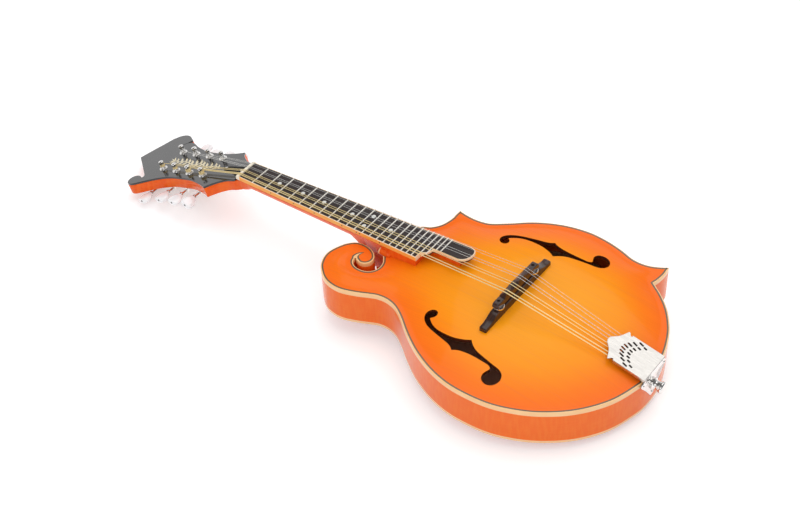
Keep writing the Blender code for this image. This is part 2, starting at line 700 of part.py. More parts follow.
def make_fingerboard():
    w = board_half
    size = SCALE_LENGTH / DRAWN_SCALE, BOARD_WIDTH / 42.0
    edge = through_runs([np.array(run) * size for run in BOARD_END_RUNS], 0.12, 0.8)
    outline = [(GAP, -w(0)), (edge[0][0], -BOARD_WIDTH / 2), *edge, (GAP, w(0))]
    board = slab("fingerboard", outline, -BOARD_THICKNESS, 0, neck_frame)
    for n in range(1, FRET_COUNT + 1):
        x = SCALE_LENGTH * (1 - 2 ** (-n / 12))
        half = w(x) - BINDING_WIDTH
        low = -half if n <= 20 else (-11.5 if n <= 22 else 0.2)
        r, h = FRET_WIDTH / 2, FRET_HEIGHT
        profile = [(x - r, -0.6), (x + r, -0.6), (x + r, 0.3 * h), (x, h), (x - r, 0.3 * h)]
        fret = slab(f"fret_{n}", profile, -half, -low, neck_frame, Matrix.Rotation(math.pi / 2, 4, "X"))
        cut(board, fret, "UNION")
    finish(board, "ebony")
    half = NUT_WIDTH / 2
    floor = -BOARD_THICKNESS
    profile = [(-4.9, floor), (0, floor), (0, 1.1), (-1.6, 1.2), (-4.2, 0.2), (-4.9, -0.8)]
    nut = slab("nut", profile, -half, half, neck_frame, Matrix.Rotation(math.pi / 2, 4, "X"))
    finish(nut, "bone")


# Headstock

HEAD_RUNS = [
    [(6.4, 15.5), (9.4, 16.8), (17.0, 18.4), (25.2, 23.4), (32.0, 30.0), (37.4, 37.0)],
    [(37.4, 37.0), (45.0, 33.8), (53.7, 31.1), (69.4, 27.9), (84.6, 28.3), (101.8, 29.9),
     (115.9, 34.6), (127.2, 40.7), (139.4, 48.8), (144.5, 52.2), (149.5, 53.6), (154.5, 52.4),
     (157.8, 48.7), (158.9, 43.3), (156.3, 38.2), (151.2, 36.3), (147.0, 37.2), (143.6, 39.2)],
    [(143.6, 39.2), (143.0, 36.6), (143.9, 34.4), (152.5, 27.6), (163.5, 19.3), (184.0, 4.1)],
    [(184.0, 4.1), (180.6, -5.3), (176.9, -15.8), (172.6, -27.4), (168.5, -39.2)],
    [(168.5, -39.2), (162.8, -46.2), (156.1, -49.5), (149.2, -49.2), (141.6, -45.2), (136.6, -41.6),
     (137.4, -38.4), (143.1, -29.4)],
    [(143.1, -29.4), (137.4, -36.0), (131.6, -37.6), (124.0, -35.0), (116.9, -31.8), (102.9, -27.7),
     (88.2, -25.6), (74.0, -25.3), (59.9, -26.8), (46.7, -30.3), (37.7, -34.0)],
    [(37.7, -34.0), (34.0, -29.2), (29.1, -25.0), (16.7, -18.2), (9.4, -16.4), (6.4, -15.5)],
]


def head_outline():
    return through_runs(HEAD_RUNS, 0.2)


def post_places():
    """Each post's place along the headstock and across it, the four bass posts first."""
    return [(FIRST_POST + POST_PITCH * k, side * (POST_SPREAD / 2 - 0.1 * k)) for side in (1, -1) for k in range(4)]


def make_headstock():
    veneer = slab("headstock_overlay", head_outline(), -VENEER_THICKNESS, 0, head_frame)
    cut(veneer, box("rod_pocket", (0, -4.5, -10), (22, 4.5, 10), head_frame))
    for index, (s, b) in enumerate(post_places()):
        drill = rod(f"veneer_drill_{index + 1}", POST_RADIUS + GAP, -30, 20, head_frame, shift(s, b, 0), 16)
        cut(veneer, drill)
    finish(veneer, "ebony")
    side = [(7.0, 9.6), (9.4, 10.2), (12.5, 9.0), (18.0, 6.4), (25.0, 5.4), (31.0, 4.6), (36.5, 2.6),
            (39.5, 0)]
    side = [tuple(p) for p in through_runs([side], 0.1, 0.8)]
    bell = side + [(s, -b) for s, b in side[-2::-1]]
    finish(slab("truss_rod_cover", bell, GAP, 1.8, head_frame), "ebony")


def make_tuners():
    places = post_places()
    back = -HEAD_THICKNESS - GAP
    first, last = places[0][0], places[3][0]
    ears_foot = -WORM_DEPTH - 2.6
    for name, side, group in (("bass", 1, places[:4]), ("treble", -1, places[4:])):
        low, high = sorted((side * 6.6, side * 27.0))
        plate = box("tuner_plate_" + name, (first - 9, low, back - PLATE_METAL), (last + 13, high, back), head_frame)
        for index, (s, b) in enumerate(group):
            worm_s = s + GEAR_RADIUS + WORM_RADIUS + 0.4
            for place, reach_in, reach_out in (("inner", 7.0, 9.2), ("outer", 24.4, 26.6)):
                low, high = sorted((side * reach_in, side * reach_out))
                ear = box(f"ear_{place}_{name}_{index + 1}", (worm_s - 3, low, ears_foot),
                          (worm_s + 3, high, back - PLATE_METAL / 2), head_frame)
                cut(plate, ear, "UNION")
            bore = rod(f"ear_drill_{name}_{index + 1}", SHAFT_RADIUS + GAP, 0, 30, head_frame,
                       turn_to(worm_s, 0, -WORM_DEPTH, "Y" if side > 0 else "-Y"), 10)
            cut(plate, bore)
            hole = rod(f"plate_drill_{name}_{index + 1}", POST_RADIUS + GAP, -16.5, 0, head_frame, shift(s, b, 0), 16)
            cut(plate, hole)
        finish(plate, "nickel")
    r, g = POST_RADIUS, GEAR_RADIUS
    top = POST_HEIGHT
    wheel_top = -WORM_DEPTH + GEAR_THICKNESS / 2
    profile = [(0, top), (r - 0.4, top), (r, top - 0.5), (r, top - 3.2), (r - 0.7, top - 4.2), (r - 0.7, top - 6),
               (r, top - 7), (r, wheel_top), (g, wheel_top), (g, wheel_top - GEAR_THICKNESS), (0, wheel_top - GEAR_THICKNESS)]
    worm = WORM_RADIUS
    for index, (s, b) in enumerate(places):
        side = 1 if b > 0 else -1
        finish(turned(f"tuner_post_{index + 1}", profile, head_frame, shift(s, b, 0), 12), "nickel")
        worm_s = s + GEAR_RADIUS + WORM_RADIUS + 0.4
        axis = turn_to(worm_s, 0, -WORM_DEPTH, "Y" if side > 0 else "-Y")
        end = SHAFT_ENDS[index % 4]
        shaft = [(0, end), (SHAFT_RADIUS, end), (SHAFT_RADIUS, 24.1), (worm, 23.6), (worm, 10.0), (SHAFT_RADIUS, 9.5),
                 (SHAFT_RADIUS, 6.8), (0, 6.8)]
        finish(turned(f"worm_shaft_{index + 1}", shaft, head_frame, axis, 10), "steel")
        make_button(f"tuner_button_{index + 1}", axis, end)


def make_button(name, axis, shaft_end):
    """A key's pearl button, flat across, with a socket for its shaft."""
    start = shaft_end - 8.5
    half = BUTTON_WIDTH / 2
    neck_half = SHAFT_RADIUS + 2.2
    side = [(start, neck_half), (start + 2.0, neck_half + 0.4), (start + 6.0, half - 0.4), (start + 10.5, half),
            (start + BUTTON_LENGTH - 1.2, half - 1.6), (start + BUTTON_LENGTH, half - 4.0)]
    side = through_runs([side], 0.15, 0.8)
    sections = []
    for y, w in side:
        t = BUTTON_THICKNESS / 2 * (0.75 + 0.25 * w / half)
        ring = [(math.cos(a), math.sin(a)) for a in np.linspace(0, 2 * math.pi, 12, endpoint=False)]
        sections.append([(math.copysign(abs(c) ** 0.7, c) * w, math.copysign(abs(s) ** 0.7, s) * t, y) for c, s in ring])
    button = loft(name, sections, head_frame)
    button.matrix_basis = axis
    socket = rod(name + "_socket", SHAFT_RADIUS + 0.15, start - 3, shaft_end + GAP, head_frame, axis, 8)
    cut(button, socket)
    finish(button, "pearl")


# Bridge

BRIDGE_X = SCALE_LENGTH * math.cos(math.radians(NECK_ANGLE)) + 3.6
SADDLE_TOP = STRING_HEIGHT - GAP - 0.1
WHEEL_FOOT = BRIDGE_BASE_TOP + GAP
SADDLE_FOOT = WHEEL_FOOT + WHEEL_THICKNESS + GAP


def make_bridge():
    sections = []
    half_length = BRIDGE_LENGTH / 2
    for share in np.linspace(-1, 1, 25):
        y = share * half_length
        half = BRIDGE_WIDTH / 2 * (1 - 0.2 * abs(share) ** 3)
        foot = rise([BRIDGE_X - half, BRIDGE_X + half], [y, y], TOP_ARCH) + GAP
        outer = max(0, abs(y) - STUD_SPREAD / 2 - 4) / (half_length - STUD_SPREAD / 2 - 4)
        top = BRIDGE_BASE_TOP - (BRIDGE_BASE_TOP - foot.max() - 4.6) * math.sin(outer * math.pi / 2)
        sections.append([(BRIDGE_X - half, y, foot[0]), (BRIDGE_X + half, y, foot[1]),
                         (BRIDGE_X + half, y, top - 1.6), (BRIDGE_X + half - 1.6, y, top),
                         (BRIDGE_X - half, y, top)])
    base = loft("bridge_base", sections, smooth=False)
    half = SADDLE_LENGTH / 2
    crown, shoulder = SADDLE_TOP, SADDLE_TOP - 3.4
    side = [(half, SADDLE_FOOT), (half + 0.4, SADDLE_FOOT + 2.5), (half - 0.6, shoulder - 0.6), (half - 3, shoulder),
            (half - 11, shoulder), (half - 14.5, crown), (half - 19.5, crown)]
    profile = side + [(-y, z) for y, z in side[::-1]]
    across = Matrix.Rotation(math.pi / 2, 4, "Z") @ Matrix.Rotation(math.pi / 2, 4, "X")
    width = SADDLE_WIDTH / 2
    saddle = slab("bridge_saddle", profile, -width, width, matrix=shift(BRIDGE_X, 0, 0) @ across)
    for side_name, y in (("bass", -STUD_SPREAD / 2), ("treble", STUD_SPREAD / 2)):
        place = shift(BRIDGE_X, y, 0)
        cut(base, rod("base_drill_" + side_name, STUD_RADIUS + 0.1, 14, 40, instrument, place, 12))
        cut(saddle, rod("saddle_drill_" + side_name, STUD_RADIUS + GAP, 10, shoulder + 5, instrument, place, 12))
        stud = rod("bridge_stud_" + side_name, STUD_RADIUS, 14.2, shoulder - 2, instrument, place, 12)
        finish(stud, "nickel")
        wheel = WHEEL_RADIUS
        bore = STUD_RADIUS + 0.1
        z = WHEEL_FOOT
        t = WHEEL_THICKNESS
        profile = [(bore, z + t), (wheel - 0.4, z + t), (wheel, z + t - 0.4), (wheel, z + 0.4), (wheel - 0.4, z),
                   (bore, z), (bore, z + t)]
        finish(turned("thumbwheel_" + side_name, profile, instrument, place, 20), "nickel")
    finish(base, "rosewood")
    finish(saddle, "rosewood")


# Tailpiece

COVER_END_X = TAIL_X + 1.9
COVER_END_Z = 6.1


def cover_matrix():
    """The cover's own frame: X runs along it towards the bridge and Z leaves its upper face."""
    turn = Matrix.Rotation(math.pi, 4, "Z") @ Matrix.Rotation(-math.radians(COVER_SLOPE), 4, "Y")
    return shift(COVER_END_X, 0, COVER_END_Z) @ turn


def make_tailpiece():
    frame = cover_matrix()
    half = COVER_WIDTH / 2
    length = COVER_LENGTH
    front = length - 16.6
    wing = half + 1.6
    side = [
        [(0, half), (front, half)],
        [(front, half), (front - 0.2, half - 1.8), (front + 1.4, half - 1.5), (front + 3.4, wing - 0.6), (front + 4.9, wing)],
        [(front + 4.9, wing), (front + 7.4, wing - 3.4), (front + 9.0, half / 2), (front + 10.6, 6.2), (front + 15.4, 3.6),
         (front + 16.6, 0)],
    ]
    side = through_runs(side, 0.12, 0.8)
    outline = np.vstack([side, (side * [1, -1])[-2::-1]])
    cover = slab("tailpiece_cover", outline, -COVER_METAL, 0, instrument, frame)
    for sign in (-1, 1):
        low, high = sorted((sign * (half - 0.03), sign * (half - COVER_METAL)))
        wall = box(f"cover_wall_{sign}", (1.0, low, -3.6), (front - 1, high, -0.4))
        wall.matrix_basis = frame
        cut(cover, wall, "UNION")
    for row, count, size, front_x, bend in ((0, 8, 5.0, 37, 0.034), (1, 7, 3.8, 30.5, 0.045)):
        for i in range(count):
            y = (i - (count - 1) / 2) * 4
            x = front_x - bend * y * y - size / 2
            slot = box(f"slot_{row}_{i}", (x - size / 2, y - 0.7, -5), (x + size / 2, y + 0.7, 5))
            slot.matrix_basis = frame
            cut(cover, slot)
    finish(cover, "nickel")

    inner = half - COVER_METAL - GAP
    under = -COVER_METAL - GAP
    thick = COVER_METAL
    profile = [(0.2, under), (27, under - 0.2), (29, under - 3.0), (36, under - 3.4), (36, under - 3.4 - thick),
               (28, under - 3.0 - thick), (26, under - 0.2 - thick), (2.0, under - thick), (0.2, under - thick)]
    base = slab("tailpiece_base", profile, -inner, inner, instrument, frame @ Matrix.Rotation(math.pi / 2, 4, "X"))
    drop = TAIL_PLATE_DROP
    step = inner - 0.2
    shield = [
        [(step, COVER_END_Z - 1.6), (step, 2)],
        [(step, 2), (half, 2)],
        [(half, 2), (half, -9)],
        [(half, -9), (half * 0.72, -19), (half * 0.42, -28), (half * 0.2, -drop + 1.4), (0, -drop)],
    ]
    side = through_runs(shield, 0.2, 1)
    outline = np.vstack([side, (side * [-1, 1])[-2::-1]])
    across = Matrix.Rotation(math.pi / 2, 4, "Z") @ Matrix.Rotation(math.pi / 2, 4, "X")
    plate = slab("tail_shield", outline, GAP, GAP + thick, instrument, shift(TAIL_X, 0, 0) @ across)
    cut(base, plate, "UNION")
    for index, y in enumerate(string_places(HOOK_SPREAD)):
        x = 31.0 if index % 2 else 34.0
        hook = box(f"hook_{index + 1}", (x - 0.8, y - 0.55, under - 4.0), (x + 0.8, y + 0.55, under - 1.0))
        hook.matrix_basis = frame
        cut(base, hook, "UNION")
    cut(base, drill_for_pin("base_pin_drill"))
    finish(base, "nickel")

    r = PIN_RADIUS
    out = GAP + thick + GAP
    flange = r + 3.2
    profile = [(0, out + 12.6), (flange - 1.6, out + 12.6), (flange, out + 11.4), (flange, out + 9.4), (r + 1.2, out + 6.6),
               (r + 1.0, out + 3.4), (flange - 0.6, out + 1.6), (flange - 0.6, out), (r, out), (r - 0.6, -18), (0, -18)]
    finish(turned("end_pin", profile, instrument, turn_to(TAIL_X, 0, -PIN_DEPTH, "X"), 20), "nickel")


# Strings

def string_places(spread):
    """The eight strings' places across, from the bass side, for a spread between the outer courses."""
    places = []
    for course in range(4):
        middle = (course / 3 - 0.5) * spread
        places += [middle - PAIR_SPACING / 2 * min(1, spread / SADDLE_SPREAD * 1.2),
                   middle + PAIR_SPACING / 2 * min(1, spread / SADDLE_SPREAD * 1.2)]
    return places


def make_strings():
    at_nut, at_saddle, at_hook = (string_places(s) for s in (NUT_SPREAD, SADDLE_SPREAD, HOOK_SPREAD))
    frame = cover_matrix()
    posts = post_places()
    for index in range(8):
        radius = STRING_RADII[index // 2]
        bass = index < 4
        s, b = posts[index if bass else 11 - index]
        inner = b - math.copysign(POST_RADIUS + radius + 0.1, b)
        end = along(head_matrix, s + 1.5, inner, POST_HEIGHT - 5.0)
        before = along(head_matrix, s - 4, inner, POST_HEIGHT - 5.0)
        nut = along(neck_matrix, -0.9, at_nut[index], 1.35 + radius)
        nut_back = along(neck_matrix, -2.6, at_nut[index], 1.1 + radius)
        hook = along(frame, 36.2, -at_hook[index], -COVER_METAL - GAP - 2.6)
        saddle = Vector((BRIDGE_X, at_saddle[index], STRING_HEIGHT + radius))
        over = Vector((SADDLE_WIDTH / 2 + 0.2, 0, 0))
        points = [hook, saddle + over, saddle - over, nut, nut_back, before, end]
        finish(wire(f"string_{index + 1}", points, radius), "bronze" if bass else "steel")


# Rest on a surface

def all_points():
    """Every visible solid's points, in the instrument's own frame."""
    graph = bpy.context.evaluated_depsgraph_get()
    back = instrument.matrix_world.inverted()
    found = []
    for obj in parts.objects:
        if obj.type != "MESH":
            continue
        mesh = obj.evaluated_get(graph).to_mesh()
        matrix = np.array(back @ obj.matrix_world)
        points = np.empty(len(mesh.vertices) * 3)
        mesh.vertices.foreach_get("co", points)
        found.append(points.reshape(-1, 3) @ matrix[:3, :3].T + matrix[:3, 3])
    return np.vstack(found)


def settle():
    """Tips the instrument until the back's arch and the headstock's end both touch the surface."""
    bpy.context.view_layer.update()
    points = all_points()
    hull = []
    for x, z in sorted(map(tuple, points[:, [0, 2]])):
        while len(hull) > 1 and (hull[-1][0] - hull[-2][0]) * (z - hull[-2][1]) <= (hull[-1][1] - hull[-2][1]) * (x - hull[-2][0]):
            hull.pop()
        hull.append((x, z))
    middle = (JOINT_X + BODY_LENGTH / 6) * MM
    left, right = next(pair for pair in zip(hull[:-1], hull[1:]) if pair[0][0] <= middle < pair[1][0])
    slope = math.atan2(right[1] - left[1], right[0] - left[0])
    turn = Matrix.Rotation(slope, 4, "Y")
    settled = points @ np.array(turn)[:3, :3].T
    low, high = settled.min(axis=0), settled.max(axis=0)
    instrument.matrix_world = Matrix.Translation((-(low[0] + high[0]) / 2, -(low[1] + high[1]) / 2, -low[2])) @ turn


make_plates()
make_rim()
make_inside()
make_neck()
make_fingerboard()
make_headstock()
make_tuners()
make_bridge()
make_tailpiece()
make_strings()
settle()
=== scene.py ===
import json
import math

import bmesh
import bpy
import numpy as np
from mathutils import Matrix, Vector
from mathutils.geometry import delaunay_2d_cdt, tessellate_polygon

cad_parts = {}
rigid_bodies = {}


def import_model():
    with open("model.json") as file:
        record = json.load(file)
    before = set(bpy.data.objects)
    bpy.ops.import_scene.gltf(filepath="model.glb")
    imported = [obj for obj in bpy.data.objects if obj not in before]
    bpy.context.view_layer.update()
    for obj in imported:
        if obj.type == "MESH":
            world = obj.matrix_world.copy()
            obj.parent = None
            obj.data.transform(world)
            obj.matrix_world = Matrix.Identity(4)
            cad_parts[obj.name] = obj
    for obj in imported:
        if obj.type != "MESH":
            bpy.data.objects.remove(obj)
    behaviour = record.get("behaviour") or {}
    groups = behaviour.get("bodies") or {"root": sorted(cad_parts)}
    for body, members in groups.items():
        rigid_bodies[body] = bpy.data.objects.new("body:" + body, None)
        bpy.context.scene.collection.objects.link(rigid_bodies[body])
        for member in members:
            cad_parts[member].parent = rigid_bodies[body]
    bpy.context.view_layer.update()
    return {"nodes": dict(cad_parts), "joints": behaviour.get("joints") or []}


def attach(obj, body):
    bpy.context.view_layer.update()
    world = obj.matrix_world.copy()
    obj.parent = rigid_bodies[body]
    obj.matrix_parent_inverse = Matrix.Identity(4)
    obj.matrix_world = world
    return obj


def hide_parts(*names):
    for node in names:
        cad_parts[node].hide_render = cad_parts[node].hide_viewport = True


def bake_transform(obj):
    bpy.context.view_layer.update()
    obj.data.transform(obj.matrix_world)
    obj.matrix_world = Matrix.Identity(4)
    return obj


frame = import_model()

mm = 0.001

# Sizes in millimetres and angles in degrees, in the frames that follow

body = {
    "length": 359.0,
    "width": 256.0,
    "depth": 45.2,
    "drawnLength": 359.0,      # the size at which the outline below was drawn
    "drawnWidth": 256.0,
    "drawnJoint": 204.6,       # where the drawn outline meets the neck
    "drawnTail": 513.9,        # and where it ends
    "topArch": 11.0,
    "backArch": 11.9,
    "archReach": 0.32,         # the share of the width over which an arch rises
    "edgeFlat": 8.0,           # the flat rim around each arch
    "plate": 4.0,
    "binding": 1.9,
    "bindingHeight": 5.2,
    "backBindingHeight": 3.8,
    "creamTop": 1.25,          # the cream that shows on top, outside the dark line
    "purfling": 1.6,
    "rib": 1.9,
    "trebleHoleLean": (0.04, -0.036),
}
neck = {
    "scale": 354.0,
    "jointFret": 15,
    "angle": 4.955,
    "boardHeight": 15.7,
    "nutWidth": 28.6,
    "boardWidth": 42.0,
    "boardThickness": 5.0,
    "fullFrets": 20,           # the frets that cross the whole board
    "depth": 15.0,
    "swell": 0.014,            # how much deeper the neck gets in each mm
    "roundness": 1.8,          # of its section: 2 is an ellipse, more is boxier
    "heel": 46.0,
    "heelFoot": 26.5,          # how far the heel's cap reaches in front of the body
    "heelWidth": 23.0,
    "buttonReach": 12.0,       # from the body's front to the middle of the heel button's arc
    "glue": 0.3,
}
head = {
    "angle": 14.47,
    "step": 3.87,
    "thickness": 14.0,
    "overlay": 2.0,
    "firstPost": 58.33,
    "postPitch": 22.95,
    "postSpread": 34.4,
    "postRadius": 2.9,
    "postHole": 5.1,           # how high a string meets its post
}
bridge = {
    "compensation": 3.6,
    "length": 116.0,
    "width": 9.0,
    "baseTop": 20.0,
    "endHeight": 4.6,          # of the foot's ends over the top
    "endRounding": 1.4,
    "saddleLength": 72.0,
    "saddleWidth": 7.0,
    "studSpread": 60.0,
    "wheelRadius": 5.9,
    "wheelHeight": 2.6,
    "knurls": 40,
    "stringHeight": 33.2,
    "ridges": (1.3, -0.7, 1.2, 0.1),   # how far towards the tail each course's ridge stands
}


def shift(x, y, z):
    return Matrix.Translation(Vector((x, y, z)) * mm)


def turn(angle, axis):
    return Matrix.Rotation(math.radians(angle), 4, axis)


def fretX(n):                                   # a fret's distance from the nut
    return neck["scale"] * (1 - 2 ** (-n / 12))


# The frames: the instrument as it lies, then its neck and headstock inside it

joints = {joint["name"]: joint for joint in frame["joints"]}
bridgeX = neck["scale"] * math.cos(math.radians(neck["angle"])) + bridge["compensation"]
wheelFoot = bridge["baseTop"] + neck["glue"]
bassWheel = Vector((bridgeX, -bridge["studSpread"] / 2, wheelFoot + bridge["wheelHeight"] / 2)) * mm
upward = Vector(joints["saddle_lift"]["axis"])
tilt = Matrix.Rotation(math.atan2(upward.x, upward.z), 4, "Y")
wheelPlace = Vector(joints["wheel_bass_turn"]["pos_m"])
instrument = Matrix.Translation(wheelPlace - tilt @ bassWheel) @ tilt

jointX = fretX(neck["jointFret"]) * math.cos(math.radians(neck["angle"]))
nutZ = neck["boardHeight"] - jointX * math.tan(math.radians(neck["angle"]))
frontX = jointX + neck["glue"]
tailX = frontX + (body["drawnTail"] - body["drawnJoint"]) * body["length"] / body["drawnLength"]
neckFrame = shift(0, 0, nutZ) @ turn(-neck["angle"], "Y")
headFrame = neckFrame @ shift(0, 0, -head["step"]) @ turn(180, "Z") @ turn(head["angle"], "Y")


def toWorld(points, matrix=None):
    whole = np.array(instrument @ (matrix or Matrix()))
    return np.asarray(points, float) @ whole[:3, :3].T * mm + whole[:3, 3]


def along(matrix, x, y, z):                     # a frame's point, in the instrument's millimetres
    return (matrix @ (Vector((x, y, z)) * mm)) / mm


# Lines

def curveThrough(points, step=1.5):
    p = np.array(points, float)
    p = np.vstack([2 * p[0] - p[1], p, 2 * p[-1] - p[-2]])
    out = []
    for a, b, c, d in zip(p[:-3], p[1:-2], p[2:-1], p[3:]):
        t = np.cumsum([0, *(np.sqrt(np.linalg.norm(n - m)) for m, n in ((a, b), (b, c), (c, d)))])
        count = max(1, round(np.linalg.norm(c - b) / step))
        for s in np.linspace(t[1], t[2], count, endpoint=False):
            ab = a + (b - a) * (s - t[0]) / (t[1] - t[0])
            bc = b + (c - b) * (s - t[1]) / (t[2] - t[1])
            cd = c + (d - c) * (s - t[2]) / (t[3] - t[2])
            abc = ab + (bc - ab) * (s - t[0]) / (t[2] - t[0])
            bcd = bc + (cd - bc) * (s - t[1]) / (t[3] - t[1])
            out.append(abc + (bcd - abc) * (s - t[1]) / (t[2] - t[1]))
    return np.array(out + [p[-2]])


def throughRuns(runs, step=1.5):                # smooth runs that meet at corners
    lines = [curveThrough(run, step)[:-1] for run in runs]
    return np.vstack([*lines, np.array(runs[-1][-1:], float)])


def inset(line, distance, closed=False):        # moved to the left, mitred, blunt at inner corners
    line = np.asarray(line, float)
    if closed:
        line = np.vstack([line[-1:], line, line[:1]])
    steps = np.diff(line, axis=0)
    normals = np.c_[-steps[:, 1], steps[:, 0]] / np.hypot(steps[:, 0], steps[:, 1])[:, None]
    first, second = np.vstack([normals[:1], normals]), np.vstack([normals, normals[-1:]])
    both = first + second
    outward = first[:, 0] * second[:, 1] - first[:, 1] * second[:, 0] < 0
    least = np.where(outward == (distance > 0), 0.9, 0.2)
    mitre = both / np.maximum((both * both).sum(1) / 2, least)[:, None]
    result = line + mitre * distance
    return result[1:-1] if closed else result


def counterClockwise(loop):
    loop = np.asarray(loop, float)
    after = np.roll(loop, -1, axis=0)
    area = (loop[:, 0] * after[:, 1] - after[:, 0] * loop[:, 1]).sum()
    return loop if area > 0 else loop[::-1]


def inside(x, y, line):
    hits = np.zeros(np.shape(x), bool)
    for (x0, y0), (x1, y1) in zip(line, np.roll(line, -1, axis=0)):
        if y0 != y1:
            hits ^= ((y0 > y) != (y1 > y)) & (x < (x1 - x0) * (y - y0) / (y1 - y0) + x0)
    return hits


heelHalf = neck["heelWidth"] / 2 + 0.5          # half the button that caps the heel
rimRuns = [
    [(204.6, -heelHalf - 0.3), (204.6, -17.5)],
    [(204.6, -17.5), (206.0, -22.0), (208.9, -25.8), (211.8, -30.4), (213.3, -36.8), (211.8, -43.6),
     (207.7, -48.7), (201.8, -51.3), (195.2, -51.7), (189.6, -50.0), (185.6, -46.3), (183.6, -39.0)],
    [(183.6, -39.0), (185.8, -42.0), (188.8, -43.5), (193.8, -44.0), (198.9, -41.3), (201.6, -36.2),
     (200.8, -30.3), (197.6, -26.0), (193.2, -22.9), (188.0, -21.0), (182.4, -20.2), (176.4, -20.7),
     (170.6, -22.8), (165.9, -26.9), (161.9, -32.2), (157.1, -43.7), (155.6, -51.0), (156.2, -58.0),
     (158.6, -65.0), (162.2, -71.2), (172.2, -80.4), (179.5, -84.4), (186.9, -86.2), (194.6, -86.7),
     (202.5, -85.5), (216.3, -80.6), (229.4, -74.5), (236.0, -71.8), (244.5, -70.6), (252.0, -71.3),
     (259.8, -73.8), (271.4, -80.8), (286.9, -92.8), (300.0, -102.0), (313.8, -110.2), (337.3, -120.3),
     (362.4, -126.0), (387.9, -126.3), (410.2, -123.4), (429.8, -117.0), (447.6, -108.5),
     (463.8, -97.6), (478.6, -84.7), (491.7, -68.9), (502.9, -49.9), (510.6, -27.1), (513.9, -12.0),
     (513.9, 12.0), (511.4, 26.6), (506.2, 42.5), (498.8, 58.4), (484.5, 78.4), (469.6, 92.4),
     (454.7, 102.9)],
    [(454.7, 102.9), (456.3, 109.5), (457.3, 118.4), (457.0, 125.0), (456.0, 131.0)],
    [(456.0, 131.0), (448.5, 126.4), (439.1, 122.1), (429.4, 120.2), (419.2, 120.7), (404.9, 124.8),
     (390.1, 127.8), (377.1, 129.1), (363.6, 129.1), (341.3, 124.9), (321.4, 117.2), (303.5, 106.7),
     (286.5, 92.9), (269.7, 80.8), (262.5, 78.4), (254.3, 77.1), (246.5, 77.0), (239.5, 77.6),
     (232.2, 78.8)],
    [(232.2, 78.8), (231.9, 72.0), (232.2, 65.3), (231.2, 58.7), (229.2, 51.5), (225.5, 45.0),
     (220.8, 40.2), (214.0, 36.6), (208.6, 31.0), (205.6, 25.0), (204.6, 20.0)],
    [(204.6, 20.0), (204.6, heelHalf + 0.3)],
]
fHoleRuns = [
    [(300.8, -68.9), (303.8, -66.2), (304.9, -63.0), (304.0, -59.8), (301.0, -58.2), (297.3, -58.9),
     (294.3, -62.3), (293.7, -67.2), (295.7, -71.6), (299.0, -74.9), (303.6, -77.8), (309.7, -80.2),
     (324.0, -84.0), (335.8, -87.0), (339.8, -88.9), (342.8, -91.4)],
    [(342.8, -91.4), (346.8, -89.2), (352.0, -87.8), (359.7, -87.0), (369.1, -87.0), (378.8, -87.5),
     (384.5, -88.2), (387.5, -90.6), (386.2, -94.2), (384.9, -98.4), (385.9, -103.0), (389.5, -105.9),
     (394.3, -106.6), (399.0, -104.9), (402.4, -100.4), (403.2, -95.4), (400.8, -90.0), (395.7, -86.8),
     (386.4, -85.0), (375.4, -82.7), (364.4, -79.8), (357.6, -75.9), (352.9, -71.6)],
    [(352.9, -71.6), (346.4, -74.9), (337.0, -77.6), (327.2, -78.3), (316.0, -77.4), (308.2, -74.7),
     (303.5, -71.4), (300.8, -68.9)],
]
headRuns = [
    [(6.4, 15.5), (9.4, 16.8), (17.0, 18.4), (25.2, 23.4), (32.0, 30.0), (37.4, 37.0)],
    [(37.4, 37.0), (45.0, 33.8), (53.7, 31.1), (69.4, 27.9), (84.6, 28.3), (101.8, 29.9),
     (115.9, 34.6), (127.2, 40.7), (139.4, 48.8), (144.5, 52.2), (149.5, 53.6), (154.5, 52.4),
     (157.8, 48.7), (158.9, 43.3), (156.3, 38.2), (151.2, 36.3), (147.0, 37.2), (143.6, 39.2)],
    [(143.6, 39.2), (143.0, 36.6), (143.9, 34.4), (152.5, 27.6), (163.5, 19.3), (184.0, 4.1)],
    [(184.0, 4.1), (180.6, -5.3), (176.9, -15.8), (172.6, -27.4), (168.5, -39.2)],
    [(168.5, -39.2), (162.8, -46.2), (156.1, -49.5), (149.2, -49.2), (141.6, -45.2), (136.6, -41.6),
     (137.4, -38.4), (143.1, -29.4)],
    [(143.1, -29.4), (137.4, -36.0), (131.6, -37.6), (124.0, -35.0), (116.9, -31.8), (102.9, -27.7),
     (88.2, -25.6), (74.0, -25.3), (59.9, -26.8), (46.7, -30.3), (37.7, -34.0)],
    [(37.7, -34.0), (34.0, -29.2), (29.1, -25.0), (16.7, -18.2), (9.4, -16.4), (6.4, -15.5)],
]
curlOuter = [(181.1, -41.0), (181.4, -37.6), (182.4, -34.9), (184.1, -32.5), (187.2, -30.2)]
curlInner = [(187.2, -30.2), (185.9, -32.6), (185.3, -35.2), (185.6, -37.7), (187.0, -39.8), (189.7, -41.1)]
curlRoot = [(187.2, -41.8), (184.4, -41.0), (183.0, -42.5)]


def onBody(points):
    scale = np.array((body["length"] / body["drawnLength"], body["width"] / body["drawnWidth"]))
    drawn = np.array(points, float) - (body["drawnJoint"], 0)
    return drawn * scale + (frontX, 0)


def bodyLine(runs, step=1.2):
    return throughRuns([onBody(run) for run in runs], step)


rim = inset(bodyLine(rimRuns), 0.04)


# Depth inside the rim without a ridge, from the sum of length over distance cubed
def softDepth(x, y):
    closed = np.vstack([rim, rim[:1]])
    middle, length = (closed[1:] + closed[:-1]) / 2, np.hypot(*np.diff(closed, axis=0).T)
    total = np.zeros(np.shape(x))
    for (a, b), weight in zip(middle, length):
        total += weight / np.maximum(np.hypot(x - a, y - b), 0.5) ** 3
    return np.sqrt(2 / total)


